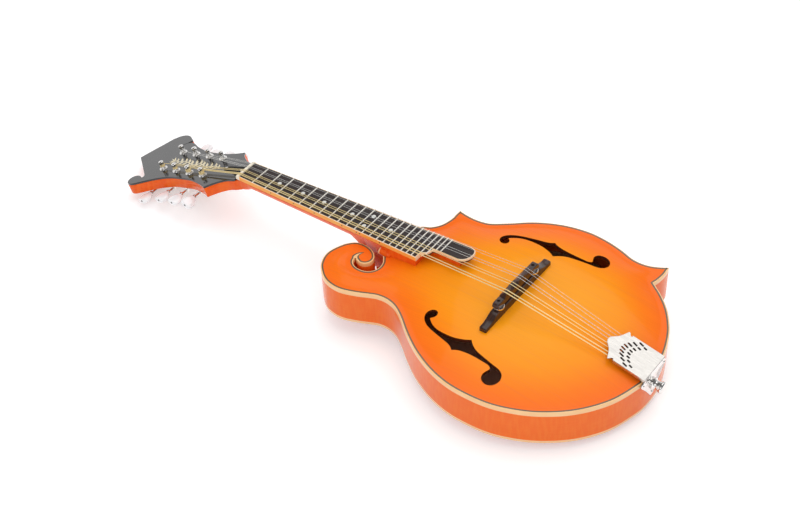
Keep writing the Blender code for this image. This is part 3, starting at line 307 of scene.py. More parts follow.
def archHeight(depth, arch):
    reach = body["archReach"] * body["width"]
    share = np.clip((depth - body["edgeFlat"]) / (reach - body["edgeFlat"]), 0, 1)
    return arch * (1 - (1 - share) ** 2)


def rise(x, y, arch):
    x, y = np.atleast_1d(x).astype(float), np.atleast_1d(y).astype(float)
    return np.where(inside(x, y, rim), archHeight(softDepth(x, y), arch), 0)


# Shapes: points and faces, in millimetres, that are joined and then made one mesh

def joined(*shapes):
    points, faces, count = [], [], 0
    for shapePoints, shapeFaces in shapes:
        points.append(np.asarray(shapePoints, float))
        faces += [tuple(int(i) + count for i in face) for face in shapeFaces]
        count += len(shapePoints)
    return np.vstack(points), faces


def moved(shape, matrix):
    whole = np.array(matrix)
    return np.asarray(shape[0], float) @ whole[:3, :3].T + whole[:3, 3] / mm, shape[1]


def lofted(sections, caps=True):
    sections = np.array(sections, float)
    n, k = sections.shape[:2]
    faces = [(i * k + j, (i + 1) * k + j, (i + 1) * k + (j + 1) % k, i * k + (j + 1) % k)
             for i in range(n - 1) for j in range(k)]
    if caps:
        faces += [tuple(range(k)), tuple((n - 1) * k + j for j in range(k))]
    return sections.reshape(-1, 3), faces


def lathed(profile, steps=32):                  # (radius, height) pairs turned about Z
    angles = np.linspace(0, 2 * math.pi, steps, endpoint=False)
    rings = [[(r * math.cos(a), r * math.sin(a), z) for a in angles] for r, z in profile]
    closed = profile[0] == profile[-1]
    return lofted(rings, not closed)


def plate(outline, low, high, ease=0.0, holes=()):      # a flat outline with eased edges
    outline = counterClockwise(outline)
    layers = [(0, low), (0, high)]
    if ease:
        layers = [(ease, low), (ease * 0.3, low + ease * 0.3), (0, low + ease),
                  (0, high - ease), (ease * 0.3, high - ease * 0.3), (ease, high)]
    rings = [np.c_[inset(outline, d, True) if d else outline, np.full(len(outline), z)] for d, z in layers]
    points, faces = lofted(rings, False)
    shapes = [(points, faces)]
    for z in (low, high):
        ring = rings[0 if z == low else -1]
        loops = [ring] + [np.c_[counterClockwise(h)[::-1], np.full(len(h), z)] for h in holes]
        triangles = tessellate_polygon([[Vector(p) for p in loop] for loop in loops])
        shapes.append((np.vstack(loops), triangles))
    for hole in holes:
        shapes.append(lofted([np.c_[hole, np.full(len(hole), z)] for z in (low, high)], False))
    return joined(*shapes)


def block(low, high, ease=0.4):               # a small rectangular piece with eased edges
    (x0, y0, z0), (x1, y1, z1) = low, high
    r = min(ease, (x1 - x0) / 4, (y1 - y0) / 4)
    corners = []
    places = ((x1 - r, y1 - r, 0), (x0 + r, y1 - r, 90), (x0 + r, y0 + r, 180), (x1 - r, y0 + r, 270))
    for cx, cy, start in places:
        for a in (0, 30, 60, 90):
            angle = math.radians(start + a)
            corners.append((cx + r * math.cos(angle), cy + r * math.sin(angle)))
    return plate(corners, z0, z1, min(ease * 0.6, (z1 - z0) / 4))


def tube(path, radius, sides=8):                # a round wire along points, with closed ends
    path = np.array(path, float)
    tangents = np.gradient(path, axis=0)
    tangents /= np.linalg.norm(tangents, axis=1)[:, None]
    side = np.cross(tangents[0], (0.13, 0.21, 0.97))
    side /= np.linalg.norm(side)
    rings = []
    radii = np.broadcast_to(radius, len(path))
    angles = np.linspace(0, 2 * math.pi, sides, endpoint=False)
    for middle, tangent, r in zip(path, tangents, radii):
        side = side - tangent * (side @ tangent)
        side /= np.linalg.norm(side)
        other = np.cross(tangent, side)
        rings.append([middle + r * (math.cos(a) * side + math.sin(a) * other) for a in angles])
    return lofted(rings)


def swept(line, profile, closed=False):         # a profile of (inset, height) carried along a line
    rings = [inset(line, distance, closed) for distance, _ in profile]
    sections = np.stack([np.c_[ring, np.full(len(ring), z)] for ring, (_, z) in zip(rings, profile)], 1)
    if closed:
        sections = np.concatenate([sections, sections[:1]])
    return lofted(sections, not closed)


def lengthAlong(line):
    return np.r_[0, np.cumsum(np.hypot(*np.diff(line, axis=0).T))]


# Making meshes

def linked(name, mesh):
    obj = bpy.data.objects.new(name, mesh)
    bpy.context.scene.collection.objects.link(obj)
    return obj


def makeMesh(name, shape, matrix=None, smooth=40, values=None):
    mesh = bpy.data.meshes.new(name)
    mesh.from_pydata(toWorld(shape[0], matrix).tolist(), [], [tuple(map(int, f)) for f in shape[1]])
    for key, value in (values or {}).items():
        value = np.asarray(value, np.float32)
        kind, field = ("FLOAT", "value") if value.ndim == 1 else ("FLOAT_VECTOR", "vector")
        mesh.attributes.new(key, kind, "POINT").data.foreach_set(field, value.ravel())
    bm = bmesh.new()
    bm.from_mesh(mesh)
    bmesh.ops.remove_doubles(bm, verts=bm.verts, dist=2e-6)
    bmesh.ops.recalc_face_normals(bm, faces=bm.faces)
    bm.to_mesh(mesh)
    bm.free()
    mesh.set_sharp_from_angle(angle=math.radians(smooth))
    axis = (instrument @ (matrix or Matrix())).to_3x3() @ Vector((0, 0, 1))
    for face in mesh.polygons:                  # level faces stay flat, so no eased edge streaks them
        face.use_smooth = abs(face.normal.dot(axis)) < 0.9998
    return linked(name, mesh)


def combine(obj, tool, operation):              # a Boolean, applied at once
    modifier = obj.modifiers.new("shape", "BOOLEAN")
    modifier.operation, modifier.object, modifier.solver = operation, tool, "EXACT"
    graph = bpy.context.evaluated_depsgraph_get()
    mesh = bpy.data.meshes.new_from_object(obj.evaluated_get(graph))
    obj.modifiers.clear()
    obj.data = mesh
    smooth = [face.use_smooth for face in mesh.polygons]
    mesh.set_sharp_from_angle(angle=math.radians(35))
    mesh.polygons.foreach_set("use_smooth", smooth)
    bpy.data.objects.remove(tool)
    return obj


def place(obj, materials, rider="instrument", nodes=()):
    several = isinstance(materials, list)
    marks = [face.material_index if several else 0 for face in obj.data.polygons]
    obj.data.materials.clear()
    for material in materials if several else [materials]:
        obj.data.materials.append(material)
    obj.data.polygons.foreach_set("material_index", marks)
    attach(obj, rider)
    if nodes:
        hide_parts(*nodes)
    return obj


# Materials

def chain(tree, kind, inputs, **settings):
    node = tree.nodes.new(kind)
    for name, value in settings.items():
        setattr(node, name, value)
    for key, value in inputs.items():
        if isinstance(value, bpy.types.NodeSocket):
            tree.links.new(value, node.inputs[key])
        else:
            node.inputs[key].default_value = value
    return node


def addNode(tree, kind, inputs=None, **settings):
    return chain(tree, "ShaderNode" + kind, inputs or {}, **settings)


def newMaterial(name, colour, **sockets):
    material = bpy.data.materials.new(name)
    material.use_nodes = True
    tree = material.node_tree
    shader = tree.nodes["Principled BSDF"]
    shader.inputs["Base Color"].default_value = (*colour, 1)
    for key, value in sockets.items():
        shader.inputs[key.replace("_", " ")].default_value = value
    return material, tree, shader


def objectPattern(tree, scale):
    coordinate = addNode(tree, "TexCoord")
    return addNode(tree, "Mapping", {0: coordinate.outputs["Object"], "Scale": scale}).outputs[0]


def attributePattern(tree, name, scale):
    attribute = addNode(tree, "Attribute", attribute_name=name)
    return addNode(tree, "Mapping", {0: attribute.outputs["Vector"], "Scale": scale}).outputs[0]


def noise(tree, vector, scale, detail=2.0, roughness=0.5):
    inputs = {"Vector": vector, "Scale": scale, "Detail": detail, "Roughness": roughness}
    return addNode(tree, "TexNoise", inputs).outputs[0]


def ramp(tree, factor, stops):
    node = addNode(tree, "ValToRGB", {0: factor})
    elements = node.color_ramp.elements
    while len(elements) < len(stops):
        elements.new(0.5)
    for element, (position, colour) in zip(elements, stops):
        element.position = position
        element.color = (*colour, 1)
    return node.outputs[0]


def mixed(tree, factor, first, second, how="MIX"):
    node = addNode(tree, "Mix", data_type="RGBA", blend_type=how)
    for index, value in ((0, factor), (6, first), (7, second)):
        if isinstance(value, bpy.types.NodeSocket):
            tree.links.new(value, node.inputs[index])
        else:
            node.inputs[index].default_value = value if index == 0 else (*value, 1)
    return node.outputs[2]


def ranged(tree, value, low, high, newLow, newHigh):
    inputs = {0: value, 1: low, 2: high, 3: newLow, 4: newHigh}
    return addNode(tree, "MapRange", inputs).outputs[0]


def bumped(tree, shader, height, strength, distance):
    bump = addNode(tree, "Bump", {"Height": height, "Strength": strength, "Distance": distance * mm})
    tree.links.new(bump.outputs[0], shader.inputs["Normal"])


def woodFinish(name, colours, grainScale, flameScale=None, flame=0.0, pattern=objectPattern, **sockets):
    material, tree, shader = newMaterial(name, colours[0], **sockets)
    grain = noise(tree, pattern(tree, grainScale), 1.0, 3.0, 0.6)
    colour = mixed(tree, ranged(tree, grain, 0.35, 0.7, 0, 1), colours[0], colours[1])
    if flame:
        stripes = noise(tree, pattern(tree, flameScale), 1.0, 2.0, 0.4)
        colour = mixed(tree, ranged(tree, stripes, 0.42, 0.62, 0, flame), colour, colours[2])
    tree.links.new(colour, shader.inputs["Base Color"])
    tree.links.new(ranged(tree, grain, 0.3, 0.7, 0.16, 0.24), shader.inputs["Roughness"])
    bumped(tree, shader, grain, 0.05, 0.05)
    return material


def metalFinish(name, colour, roughness, scale, wear):
    material, tree, shader = newMaterial(name, colour, Metallic=1.0)
    marks = noise(tree, objectPattern(tree, scale), 1.0, 4.0, 0.6)
    polish = ranged(tree, marks, 0.3, 0.7, roughness - wear / 2, roughness + wear)
    dull = tuple(c * 0.86 for c in colour)
    shade = mixed(tree, ranged(tree, marks, 0.4, 0.75, 0, 1), colour, dull)
    tree.links.new(polish, shader.inputs["Roughness"])
    tree.links.new(shade, shader.inputs["Base Color"])
    bumped(tree, shader, marks, 0.04, 0.03)
    return material


def plainFinish(name, colour, other, roughness, scale, bump=0.1, **sockets):
    material, tree, shader = newMaterial(name, colour, **sockets)
    cloud = noise(tree, objectPattern(tree, scale), 1.0, 4.0, 0.55)
    shade = mixed(tree, ranged(tree, cloud, 0.35, 0.7, 0, 1), colour, other)
    polish = ranged(tree, cloud, 0.3, 0.7, roughness * 0.85, roughness * 1.15)
    tree.links.new(shade, shader.inputs["Base Color"])
    tree.links.new(polish, shader.inputs["Roughness"])
    bumped(tree, shader, cloud, bump, 0.05)
    return material


burst = {
    "edge": (0.96, 0.15, 0.011),
    "ring": (0.97, 0.198, 0.006),
    "middle": (0.97, 0.295, 0.004),
    "centre": (0.97, 0.35, 0.008),
    "reach": 78.0,                     # mm from the rim to the pale centre
}


def burstFinish(name, grainScale, colours, flame):      # pale in the middle, deeper towards the rim
    material, tree, shader = newMaterial(name, colours["centre"], Coat_Weight=0.18, Coat_Roughness=0.05,
                                         Specular_IOR_Level=0.1)
    depth = addNode(tree, "Attribute", attribute_name="edge")
    cloud = noise(tree, objectPattern(tree, (14, 14, 14)), 1.0, 2.0)
    wander = addNode(tree, "Math", {0: ranged(tree, cloud, 0, 1, -0.07, 0.07), 1: depth.outputs["Fac"]},
                     operation="ADD")
    base = ramp(tree, wander.outputs[0], [(0.0, colours["edge"]), (0.26, colours["ring"]),
                                          (0.54, colours["middle"]), (0.82, colours["centre"])])
    lines = noise(tree, objectPattern(tree, grainScale), 1.0, 3.0, 0.65)
    dark = mixed(tree, 1.0, base, (0.86, 0.78, 0.6), "MULTIPLY")
    colour = mixed(tree, ranged(tree, lines, 0.42, 0.72, 0, flame), base, dark)
    tree.links.new(colour, shader.inputs["Base Color"])
    tree.links.new(ranged(tree, lines, 0.3, 0.7, 0.2, 0.3), shader.inputs["Roughness"])
    bumped(tree, shader, lines, 0.04, 0.03)
    return material


def alongRib(tree, scale):
    return attributePattern(tree, "band", scale)


lacquer = {"Coat_Weight": 0.2, "Coat_Roughness": 0.05, "Specular_IOR_Level": 0.12}
backBurst = {
    "edge": (0.62, 0.06, 0.01),
    "ring": (0.75, 0.1, 0.01),
    "middle": (0.86, 0.2, 0.012),
    "centre": (0.9, 0.28, 0.02),
}
ribColours = ((0.93, 0.165, 0.012), (0.89, 0.14, 0.009), (0.95, 0.22, 0.022))     # plain, dark line, flame
neckColours = ((0.9, 0.125, 0.01), (0.82, 0.09, 0.007), (0.95, 0.18, 0.018))


def woodFinishes():
    made = {
        "top": burstFinish("amber_sunburst_spruce", (9, 850, 40), burst, 0.5),
        "back": burstFinish("amber_sunburst_maple", (190, 22, 40), backBurst, 0.9),
        "rib": woodFinish("flamed_maple_rib", ribColours, (0.02, 1.6, 1), (0.3, 0.05, 1), 0.3,
                          alongRib, **lacquer),
        "neck": woodFinish("flamed_maple_neck", neckColours, (25, 700, 500), (210, 20, 20), 0.5, **lacquer),
    }
    plain = {                                   # name, two colours, grain scale
        # near black, for the walls of the top's edge and its f-holes below their thin top row
        "dark": ("near_black_wall_wood", ((0.1, 0.022, 0.008), (0.07, 0.015, 0.006)), (30, 400, 400)),
        "raw": ("raw_inner_wood", ((0.62, 0.4, 0.22), (0.5, 0.3, 0.15)), (25, 600, 600)),
        "inner": ("inner_face_wood", ((0.74, 0.42, 0.3), (0.64, 0.35, 0.24)), (10, 700, 60)),
        "ebony": ("ebony_board", ((0.036, 0.028, 0.028), (0.06, 0.047, 0.046)), (40, 900, 300)),
        "rosewood": ("dark_rosewood", ((0.055, 0.022, 0.014), (0.022, 0.012, 0.01)), (500, 30, 300)),
    }
    made.update({key: woodFinish(*row) for key, row in plain.items()})
    amber = ((0.86, 0.32, 0.02), (0.72, 0.22, 0.015))
    made["amber"] = woodFinish("amber_wood_edge", amber, (30, 400, 400), **lacquer)
    return made


def bindingFinishes():
    even = (60, 60, 60)
    return {
        "cream": plainFinish("cream_binding", (0.96, 0.6, 0.29), (0.94, 0.54, 0.24), 0.22, even, 0.02,
                             Coat_Weight=0.3, Coat_Roughness=0.05),
        "boardCream": plainFinish("board_binding", (0.97, 0.76, 0.55), (0.95, 0.7, 0.47), 0.25, even, 0.02,
                                  Coat_Weight=0.3),
        "boardAmber": plainFinish("board_binding_side", (0.97, 0.45, 0.1), (0.96, 0.38, 0.07), 0.3,
                                  even, 0.02, Coat_Weight=0.1, Specular_IOR_Level=0.2),
        "purfling": plainFinish("dark_purfling", (0.14, 0.105, 0.055), (0.1, 0.08, 0.045), 0.3,
                                (300, 300, 300), 0.02, Coat_Weight=0.3),
        "black": plainFinish("black_overlay", (0.012, 0.011, 0.012), (0.02, 0.018, 0.02), 0.12,
                             (40, 40, 40), 0.01, Coat_Weight=0.6, Coat_Roughness=0.04),
        "cover": plainFinish("black_bell_cover", (0.005, 0.005, 0.005), (0.009, 0.008, 0.009), 0.5,
                             even, 0.01, Specular_IOR_Level=0.15),
    }


def shellFinishes():
    return {
        "bone": plainFinish("bone_nut", (0.96, 0.88, 0.72), (0.9, 0.8, 0.62), 0.35, (300, 80, 300)),
        "pearl": plainFinish("pearl_button", (0.98, 0.965, 0.975), (0.92, 0.91, 0.93), 0.15,
                             (90, 60, 90), 0.03, Coat_Weight=0.8),
        "inlay": plainFinish("pearl_inlay", (0.78, 0.66, 0.4), (0.66, 0.58, 0.38), 0.25,
                             (260, 180, 260), 0.02, Coat_Weight=0.8),
        "whiteDot": plainFinish("pearl_dot", (0.85, 0.84, 0.8), (0.7, 0.72, 0.7), 0.2, (500, 400, 500), 0.02),
        "darkDot": plainFinish("black_dot", (0.03, 0.026, 0.024), (0.05, 0.04, 0.04), 0.3, (400, 400, 400)),
    }


def metalFinishes():
    return {
        "nickel": metalFinish("bright_nickel", (0.82, 0.8, 0.78), 0.1, (300, 300, 300), 0.06),
        "satin": metalFinish("satin_nickel", (0.75, 0.72, 0.68), 0.26, (60, 900, 300), 0.1),
        "inMetal": plainFinish("shaded_inner_metal", (0.1, 0.075, 0.06), (0.06, 0.045, 0.04), 0.5,
                               (300, 300, 300), 0.05),
        "steel": plainFinish("plain_steel", (0.86, 0.84, 0.8), (0.76, 0.75, 0.73), 0.26,
                             (900, 900, 900), 0.03, Metallic=0.5),
        "fret": plainFinish("fret_wire", (0.96, 0.92, 0.84), (0.9, 0.85, 0.76), 0.3,
                            (400, 900, 400), 0.03, Metallic=0.2),
        "bronze": plainFinish("bronze_winding", (0.98, 0.8, 0.4), (0.9, 0.68, 0.32), 0.3,
                              (2400, 300, 300), 0.05, Metallic=0.35),
    }


finishes = woodFinishes() | bindingFinishes() | shellFinishes() | metalFinishes()
print("finishes:", len(finishes))


# Geometry Nodes: one tree repeats a piece on points, the other winds a wire

def newTree(name, sockets):
    tree = bpy.data.node_groups.new(name, "GeometryNodeTree")
    for label, kind, value in sockets:
        socket = tree.interface.new_socket(name=label, in_out="INPUT", socket_type="NodeSocket" + kind)
        if value is not None:
            socket.default_value = value
    tree.interface.new_socket(name="Geometry", in_out="OUTPUT", socket_type="NodeSocketGeometry")
    return tree, tree.nodes.new("NodeGroupInput"), tree.nodes.new("NodeGroupOutput")


def makeRepeatTree():
    sockets = [("Geometry", "Geometry", None), ("Piece", "Object", None), ("Material", "Material", None)]
    tree, given, result = newTree("repeatOnPoints", sockets)
    piece = chain(tree, "GeometryNodeObjectInfo", {"Object": given.outputs["Piece"], "As Instance": True})
    facing = chain(tree, "GeometryNodeInputNamedAttribute", {"Name": "turn"}, data_type="FLOAT_VECTOR")
    size = chain(tree, "GeometryNodeInputNamedAttribute", {"Name": "size"}, data_type="FLOAT_VECTOR")
    copies = chain(tree, "GeometryNodeInstanceOnPoints", {
        "Points": given.outputs["Geometry"], "Instance": piece.outputs["Geometry"],
        "Rotation": facing.outputs[0], "Scale": size.outputs[0]})
    real = chain(tree, "GeometryNodeRealizeInstances", {"Geometry": copies.outputs[0]})
    painted = chain(tree, "GeometryNodeSetMaterial", {"Geometry": real.outputs[0],
                                                      "Material": given.outputs["Material"]})
    tree.links.new(painted.outputs[0], result.inputs[0])
    return tree


def makeWindingTree():
    sockets = [("Radius", "Float", 0.003), ("Wire", "Float", 0.0004), ("Turns", "Float", 4.0),
               ("Height", "Float", 0.004), ("Sides", "Int", 6), ("Steps", "Int", 24),
               ("Material", "Material", None)]
    tree, given, result = newTree("wireWinding", sockets)
    spiral = chain(tree, "GeometryNodeCurveSpiral", {
        "Resolution": given.outputs["Steps"], "Rotations": given.outputs["Turns"],
        "Start Radius": given.outputs["Radius"], "End Radius": given.outputs["Radius"],
        "Height": given.outputs["Height"]})
    circle = chain(tree, "GeometryNodeCurvePrimitiveCircle", {
        "Resolution": given.outputs["Sides"], "Radius": given.outputs["Wire"]})
    wire = chain(tree, "GeometryNodeCurveToMesh", {
        "Curve": spiral.outputs[0], "Profile Curve": circle.outputs[0], "Fill Caps": True})
    real = chain(tree, "GeometryNodeRealizeInstances", {"Geometry": wire.outputs[0]})
    painted = chain(tree, "GeometryNodeSetMaterial", {"Geometry": real.outputs[0],
                                                      "Material": given.outputs["Material"]})
    tree.links.new(painted.outputs[0], result.inputs[0])
    return tree


def runTree(name, carrier, tree, inputs):       # the tree's result as a plain mesh, in millimetres
    modifier = carrier.modifiers.new(tree.name, "NODES")
    modifier.node_group = tree
    for item in tree.interface.items_tree:
        if item.item_type == "SOCKET" and item.in_out == "INPUT" and item.name in inputs:
            modifier[item.identifier] = inputs[item.name]
    graph = bpy.context.evaluated_depsgraph_get()
    mesh = bpy.data.meshes.new_from_object(carrier.evaluated_get(graph))
    carrier.modifiers.clear()
    bpy.data.objects.remove(carrier)
    mesh.name = name
    return mesh


repeatTree = makeRepeatTree()
windingTree = makeWindingTree()


# Each spot is a place, a turn in radians and a size; the last two can be left out
def repeatPiece(name, shape, spots, finish, matrix=None):
    pieceMesh = bpy.data.meshes.new("piece")
    pieceMesh.from_pydata((np.array(shape[0]) * mm).tolist(), [], [tuple(map(int, f)) for f in shape[1]])
    piece = linked("piece", pieceMesh)
    carrierMesh = bpy.data.meshes.new("spots")
    carrierMesh.from_pydata([tuple(np.array(spot[0]) * mm) for spot in spots], [], [])
    for key, column, plain in (("turn", 1, (0, 0, 0)), ("size", 2, (1, 1, 1))):
        values = [spot[column] if len(spot) > column else plain for spot in spots]
        attribute = carrierMesh.attributes.new(key, "FLOAT_VECTOR", "POINT")
        attribute.data.foreach_set("vector", np.array(values, np.float32).ravel())
    carrier = linked("spots", carrierMesh)
    mesh = runTree(name, carrier, repeatTree, {"Piece": piece, "Material": finish})
    bpy.data.objects.remove(piece)
    mesh.transform(instrument @ (matrix or Matrix()))
    bm = bmesh.new()
    bm.from_mesh(mesh)
    bmesh.ops.recalc_face_normals(bm, faces=bm.faces)
    bm.to_mesh(mesh)
    bm.free()
    mesh.shade_smooth()
    mesh.set_sharp_from_angle(angle=math.radians(40))
    return linked(name, mesh)


def windWire(name, radius, wire, turns, height, finish, matrix, steps=24, sides=6):
    carrier = linked("winding", bpy.data.meshes.new("winding"))
    inputs = {"Radius": radius * mm, "Wire": wire * mm, "Turns": float(turns), "Height": height * mm,
              "Sides": sides, "Steps": steps, "Material": finish}
    mesh = runTree(name, carrier, windingTree, inputs)
    mesh.transform(instrument @ matrix)
    mesh.shade_smooth()
    return linked(name, mesh)


# Top, back and rim

def plateMesh(outline, holes, step):            # an even net of points inside an outline, around its holes
    outline = counterClockwise(outline)
    low, high = outline.min(axis=0), outline.max(axis=0)
    xs, ys = np.meshgrid(np.arange(low[0], high[0], step), np.arange(low[1], high[1], step))
    grid = np.c_[xs.ravel(), ys.ravel()]
    loops = [outline, *holes]
    keep = inside(grid[:, 0], grid[:, 1], outline)
    for hole in holes:
        keep &= ~inside(grid[:, 0], grid[:, 1], hole)
    grid = grid[keep]
    near = np.full(len(grid), 1e9)
    for loop in loops:
        for point in loop:
            near = np.minimum(near, np.hypot(*(grid - point).T))
    grid = grid[near > 0.55 * step]
    points = np.vstack([*loops, grid])
    edges, start = [], 0
    for loop in loops:
        edges += [(start + i, start + (i + 1) % len(loop)) for i in range(len(loop))]
        start += len(loop)
    found = delaunay_2d_cdt([Vector(p) for p in points], edges, [], 0, 1e-5)
    points = np.array([tuple(p) for p in found[0]])
    triangles = np.array([tuple(t) for t in found[2]])
    middle = points[triangles].mean(axis=1)
    keep = inside(middle[:, 0], middle[:, 1], outline)
    for hole in holes:
        keep &= ~inside(middle[:, 0], middle[:, 1], hole)
    return points, triangles[keep]


wallRows = (0, 0.02, 0.5, 1)                    # an edge's rows of points, as shares of its height


def walledPlate(points, triangles, upper, lower):
    n, rows = len(points), len(wallRows) - 1
    layers = [np.c_[points, upper + (lower - upper) * share] for share in wallRows]
    edges = {}
    for a, b, c in triangles:
        for edge in ((a, b), (b, c), (c, a)):
            edges[edge] = edges.get(edge, 0) + 1
    border = [edge for edge in edges if (edge[1], edge[0]) not in edges]
    faces = [tuple(t) for t in triangles] + [tuple(t[::-1] + rows * n) for t in triangles]
    marks = [0] * len(triangles) + [3] * len(triangles)
    for row in range(rows):
        for a, b in border:
            faces.append((b + row * n, a + row * n, a + (row + 1) * n, b + (row + 1) * n))
            marks.append(1 if row == 0 else 2)
    return np.vstack(layers), faces, marks


def topRise(x, y):                              # the carved top's height, its scroll ridge included
    return archHeight(softDepth(x, y), body["topArch"]) + scrollRidge(np.c_[x, y])


def makePlate(name, outline, holes, step, zEdge, arch):      # an arch below 0 is the back's
    points, triangles = plateMesh(outline, holes, step)
    depth = softDepth(points[:, 0], points[:, 1])
    swell = archHeight(depth, abs(arch)) * math.copysign(1, arch)
    outer = zEdge + swell + (scrollRidge(points) if arch > 0 else 0)
    inner = zEdge + swell - math.copysign(body["plate"], arch)
    upper, lower = (outer, inner) if arch > 0 else (inner, outer)
    shapePoints, faces, marks = walledPlate(points, triangles, upper, lower)
    if arch < 0:
        marks = [{0: 3, 3: 0}.get(mark, 1) for mark in marks]
    edge = np.tile(np.clip(depth / burst["reach"], 0, 1), len(wallRows))
    mesh = bpy.data.meshes.new(name)
    mesh.from_pydata(toWorld(shapePoints).tolist(), [], faces)
    mesh.attributes.new("edge", "FLOAT", "POINT").data.foreach_set("value", edge.astype(np.float32))
    mesh.polygons.foreach_set("material_index", marks)
    mesh.shade_smooth()
    mesh.set_sharp_from_angle(angle=math.radians(40))
    return linked(name, mesh)


scroll = {
    "crest": [(236, -49), (221, -53.7), (205, -62.5), (193, -66.8), (181, -65.9), (171.8, -57),
              (168.3, -46.5), (170.8, -37)],
    "ridgeHeight": 0.9,
    "ridgeWidth": 4.5,
}


def scrollRidge(points):                        # the soft crest that runs round the scroll
    crest = curveThrough(onBody(scroll["crest"]), 2)
    away = np.full(len(points), 1e9)
    share = np.zeros(len(points))
    for index, top in enumerate(crest):
        distance = np.hypot(*(points - top).T)
        share = np.where(distance < away, index / len(crest), share)
        away = np.minimum(away, distance)
    fade = np.clip(share * 3, 0, 1) * np.clip((1 - share) * 4, 0, 1)
    return scroll["ridgeHeight"] * np.exp(-(away / scroll["ridgeWidth"]) ** 2) * fade


def borderLine(distance):                       # the rim's line, inset, with the curl at the scroll's eye
    outer = inset(bodyLine(rimRuns[:2]), distance)
    tip = onBody(curlOuter)
    last = next(i for i, p in enumerate(outer) if p[0] < tip[0][0] + 1.2 and p[1] > tip[0][1] - 4.5)
    rest = inset(bodyLine(rimRuns[2:]), distance)
    start = onBody(curlInner)[-1]
    first = next(i for i, p in enumerate(rest) if p[0] > start[0] + 0.8)
    outerCurl = curveThrough(np.vstack([outer[last - 1:last], onBody(curlOuter)]), 0.6)
    innerCurl = curveThrough(np.vstack([onBody(curlInner), rest[first:first + 1]]), 0.6)
    return np.vstack([outer[:last - 1], outerCurl]), np.vstack([innerCurl[:-1], rest[first:]])


def makeTop(edge):
    hole = bodyLine(fHoleRuns, 1.0)[:-1]
    lean = (hole[:, :1] - hole[:, 0].min()) * body["trebleHoleLean"]
    holes = [hole, hole * (1, -1) + lean]
    top = makePlate("carved_top", edge, holes, 2.6, 0, body["topArch"])
    place(top, [finishes[key] for key in ("top", "amber", "dark", "inner")], nodes=["top_plate"])


def makeBack(edge):
    backZ = -body["depth"]
    back = makePlate("carved_back", edge, [], 4.0, backZ, -body["backArch"])
    place(back, [finishes[key] for key in ("back", "amber", "dark", "inner")], nodes=["back_plate"])
    arc = [math.radians(90 + 7.5 * i) for i in range(25)]
    middle = frontX - neck["buttonReach"]
    button = [(middle + heelHalf * math.cos(a), heelHalf * math.sin(a)) for a in arc]
    button += [(frontX + 2, -heelHalf), (frontX + 2, heelHalf)]
    cap = plate(button, backZ, backZ + body["plate"], 0.6)
    place(makeMesh("heel_button", cap), finishes["neck"])


def makeBindings():
    w, h, backZ = body["binding"], body["bindingHeight"], -body["depth"]
    foot = backZ + body["backBindingHeight"]
    corner = ((0.75, 0), (0.3, 0.12), (0.08, 0.38), (0, 0.8))      # the eased edge: how far in, how deep
    top = [(w, -h), (w, 0), *((x, -z) for x, z in corner), (0, -h)]
    back = [(w, foot), (0, foot), *((x, backZ + z) for x, z in corner[::-1]), (w, backZ)]
    for side, profile in (("top", top), ("back", back)):
        strip = makeMesh(f"{side}_binding_strip", swept(rim, profile), smooth=50)
        place(strip, finishes["cream"], nodes=[f"{side}_binding"])


def onTop(shape):                               # a flat shape laid on the carved top
    points, faces = shape
    points[:, 2] += topRise(points[:, 0], points[:, 1])
    return points, faces


def makePurfling():
    half = body["purfling"] / 2
    strips = []
    for line, endsAtCurl in zip(borderLine(body["creamTop"] + half), (True, False)):
        strip, faces = swept(line, [(-half, -0.8), (-half, 0.05), (half, 0.05), (half, -0.8)])
        travel = lengthAlong(line)
        fromCurl = travel[-1] - travel if endsAtCurl else travel
        width = np.repeat(0.35 + 0.65 * np.clip(fromCurl / 9, 0, 1), 4)[:, None]
        centre = np.repeat(line, 4, axis=0)
        strip[:, :2] = centre + (strip[:, :2] - centre) * width
        strips.append(onTop((strip, faces)))
    place(makeMesh("purfling_line", joined(*strips)), finishes["purfling"])
    outer, inner = curveThrough(onBody(curlOuter), 0.6), curveThrough(onBody(curlInner[:-1]), 0.6)
    curl = onTop(plate(np.vstack([outer, inner[1:], onBody(curlRoot)]), -0.8, 0.02))
    place(makeMesh("scroll_curl", curl), finishes["cream"])


def makeRibs():
    low, high = -body["depth"] + body["backBindingHeight"], -body["bindingHeight"]
    profile = [(0, high), (0, low), (body["rib"], low), (body["rib"], high)]
    band = np.zeros((len(rim), len(profile), 3))      # how far round and how high, for the flame
    band[:, :, 0] = lengthAlong(rim)[:, None]
    band[:, :, 1] = [z for _, z in profile]
    ribs = makeMesh("bent_ribs", swept(rim, profile), values={"band": band.reshape(-1, 3)})
    place(ribs, finishes["rib"], nodes=["ribs"])


kerfing = {
    "pitch": 5.6,
    "inset": 2.6,              # from the ribs to the middle of a block
    "gap": 0.3,                # from the plates
    "start": (24, -60),        # past the scroll, from the body's front and from the middle
    "end": (36, 70),           # before the neck
    "corner": 103.5,           # where the lower treble point begins, as it was drawn
    "pastPoint": 10,           # the rim's points left out after that point's tip
}


def kerfingLine():             # round the rim from the scroll to the neck, without the lower treble point
    fromFront, across = rim[:, 0] - frontX, rim[:, 1]
    (startX, startY), (endX, endY) = kerfing["start"], kerfing["end"]
    tip = int(np.argmax(across + (fromFront > 240) * 40))
    corner = tip - 1
    while across[corner] > kerfing["corner"] * body["width"] / body["drawnWidth"]:
        corner -= 1
    start = int(np.argmax((fromFront > startX) & (across < startY)))
    end = int(np.argmax((fromFront < endX) & (across > endY)))
    line = np.vstack([rim[start:corner + 1], rim[tip + kerfing["pastPoint"]:end]])
    return inset(line, body["rib"] + kerfing["inset"])


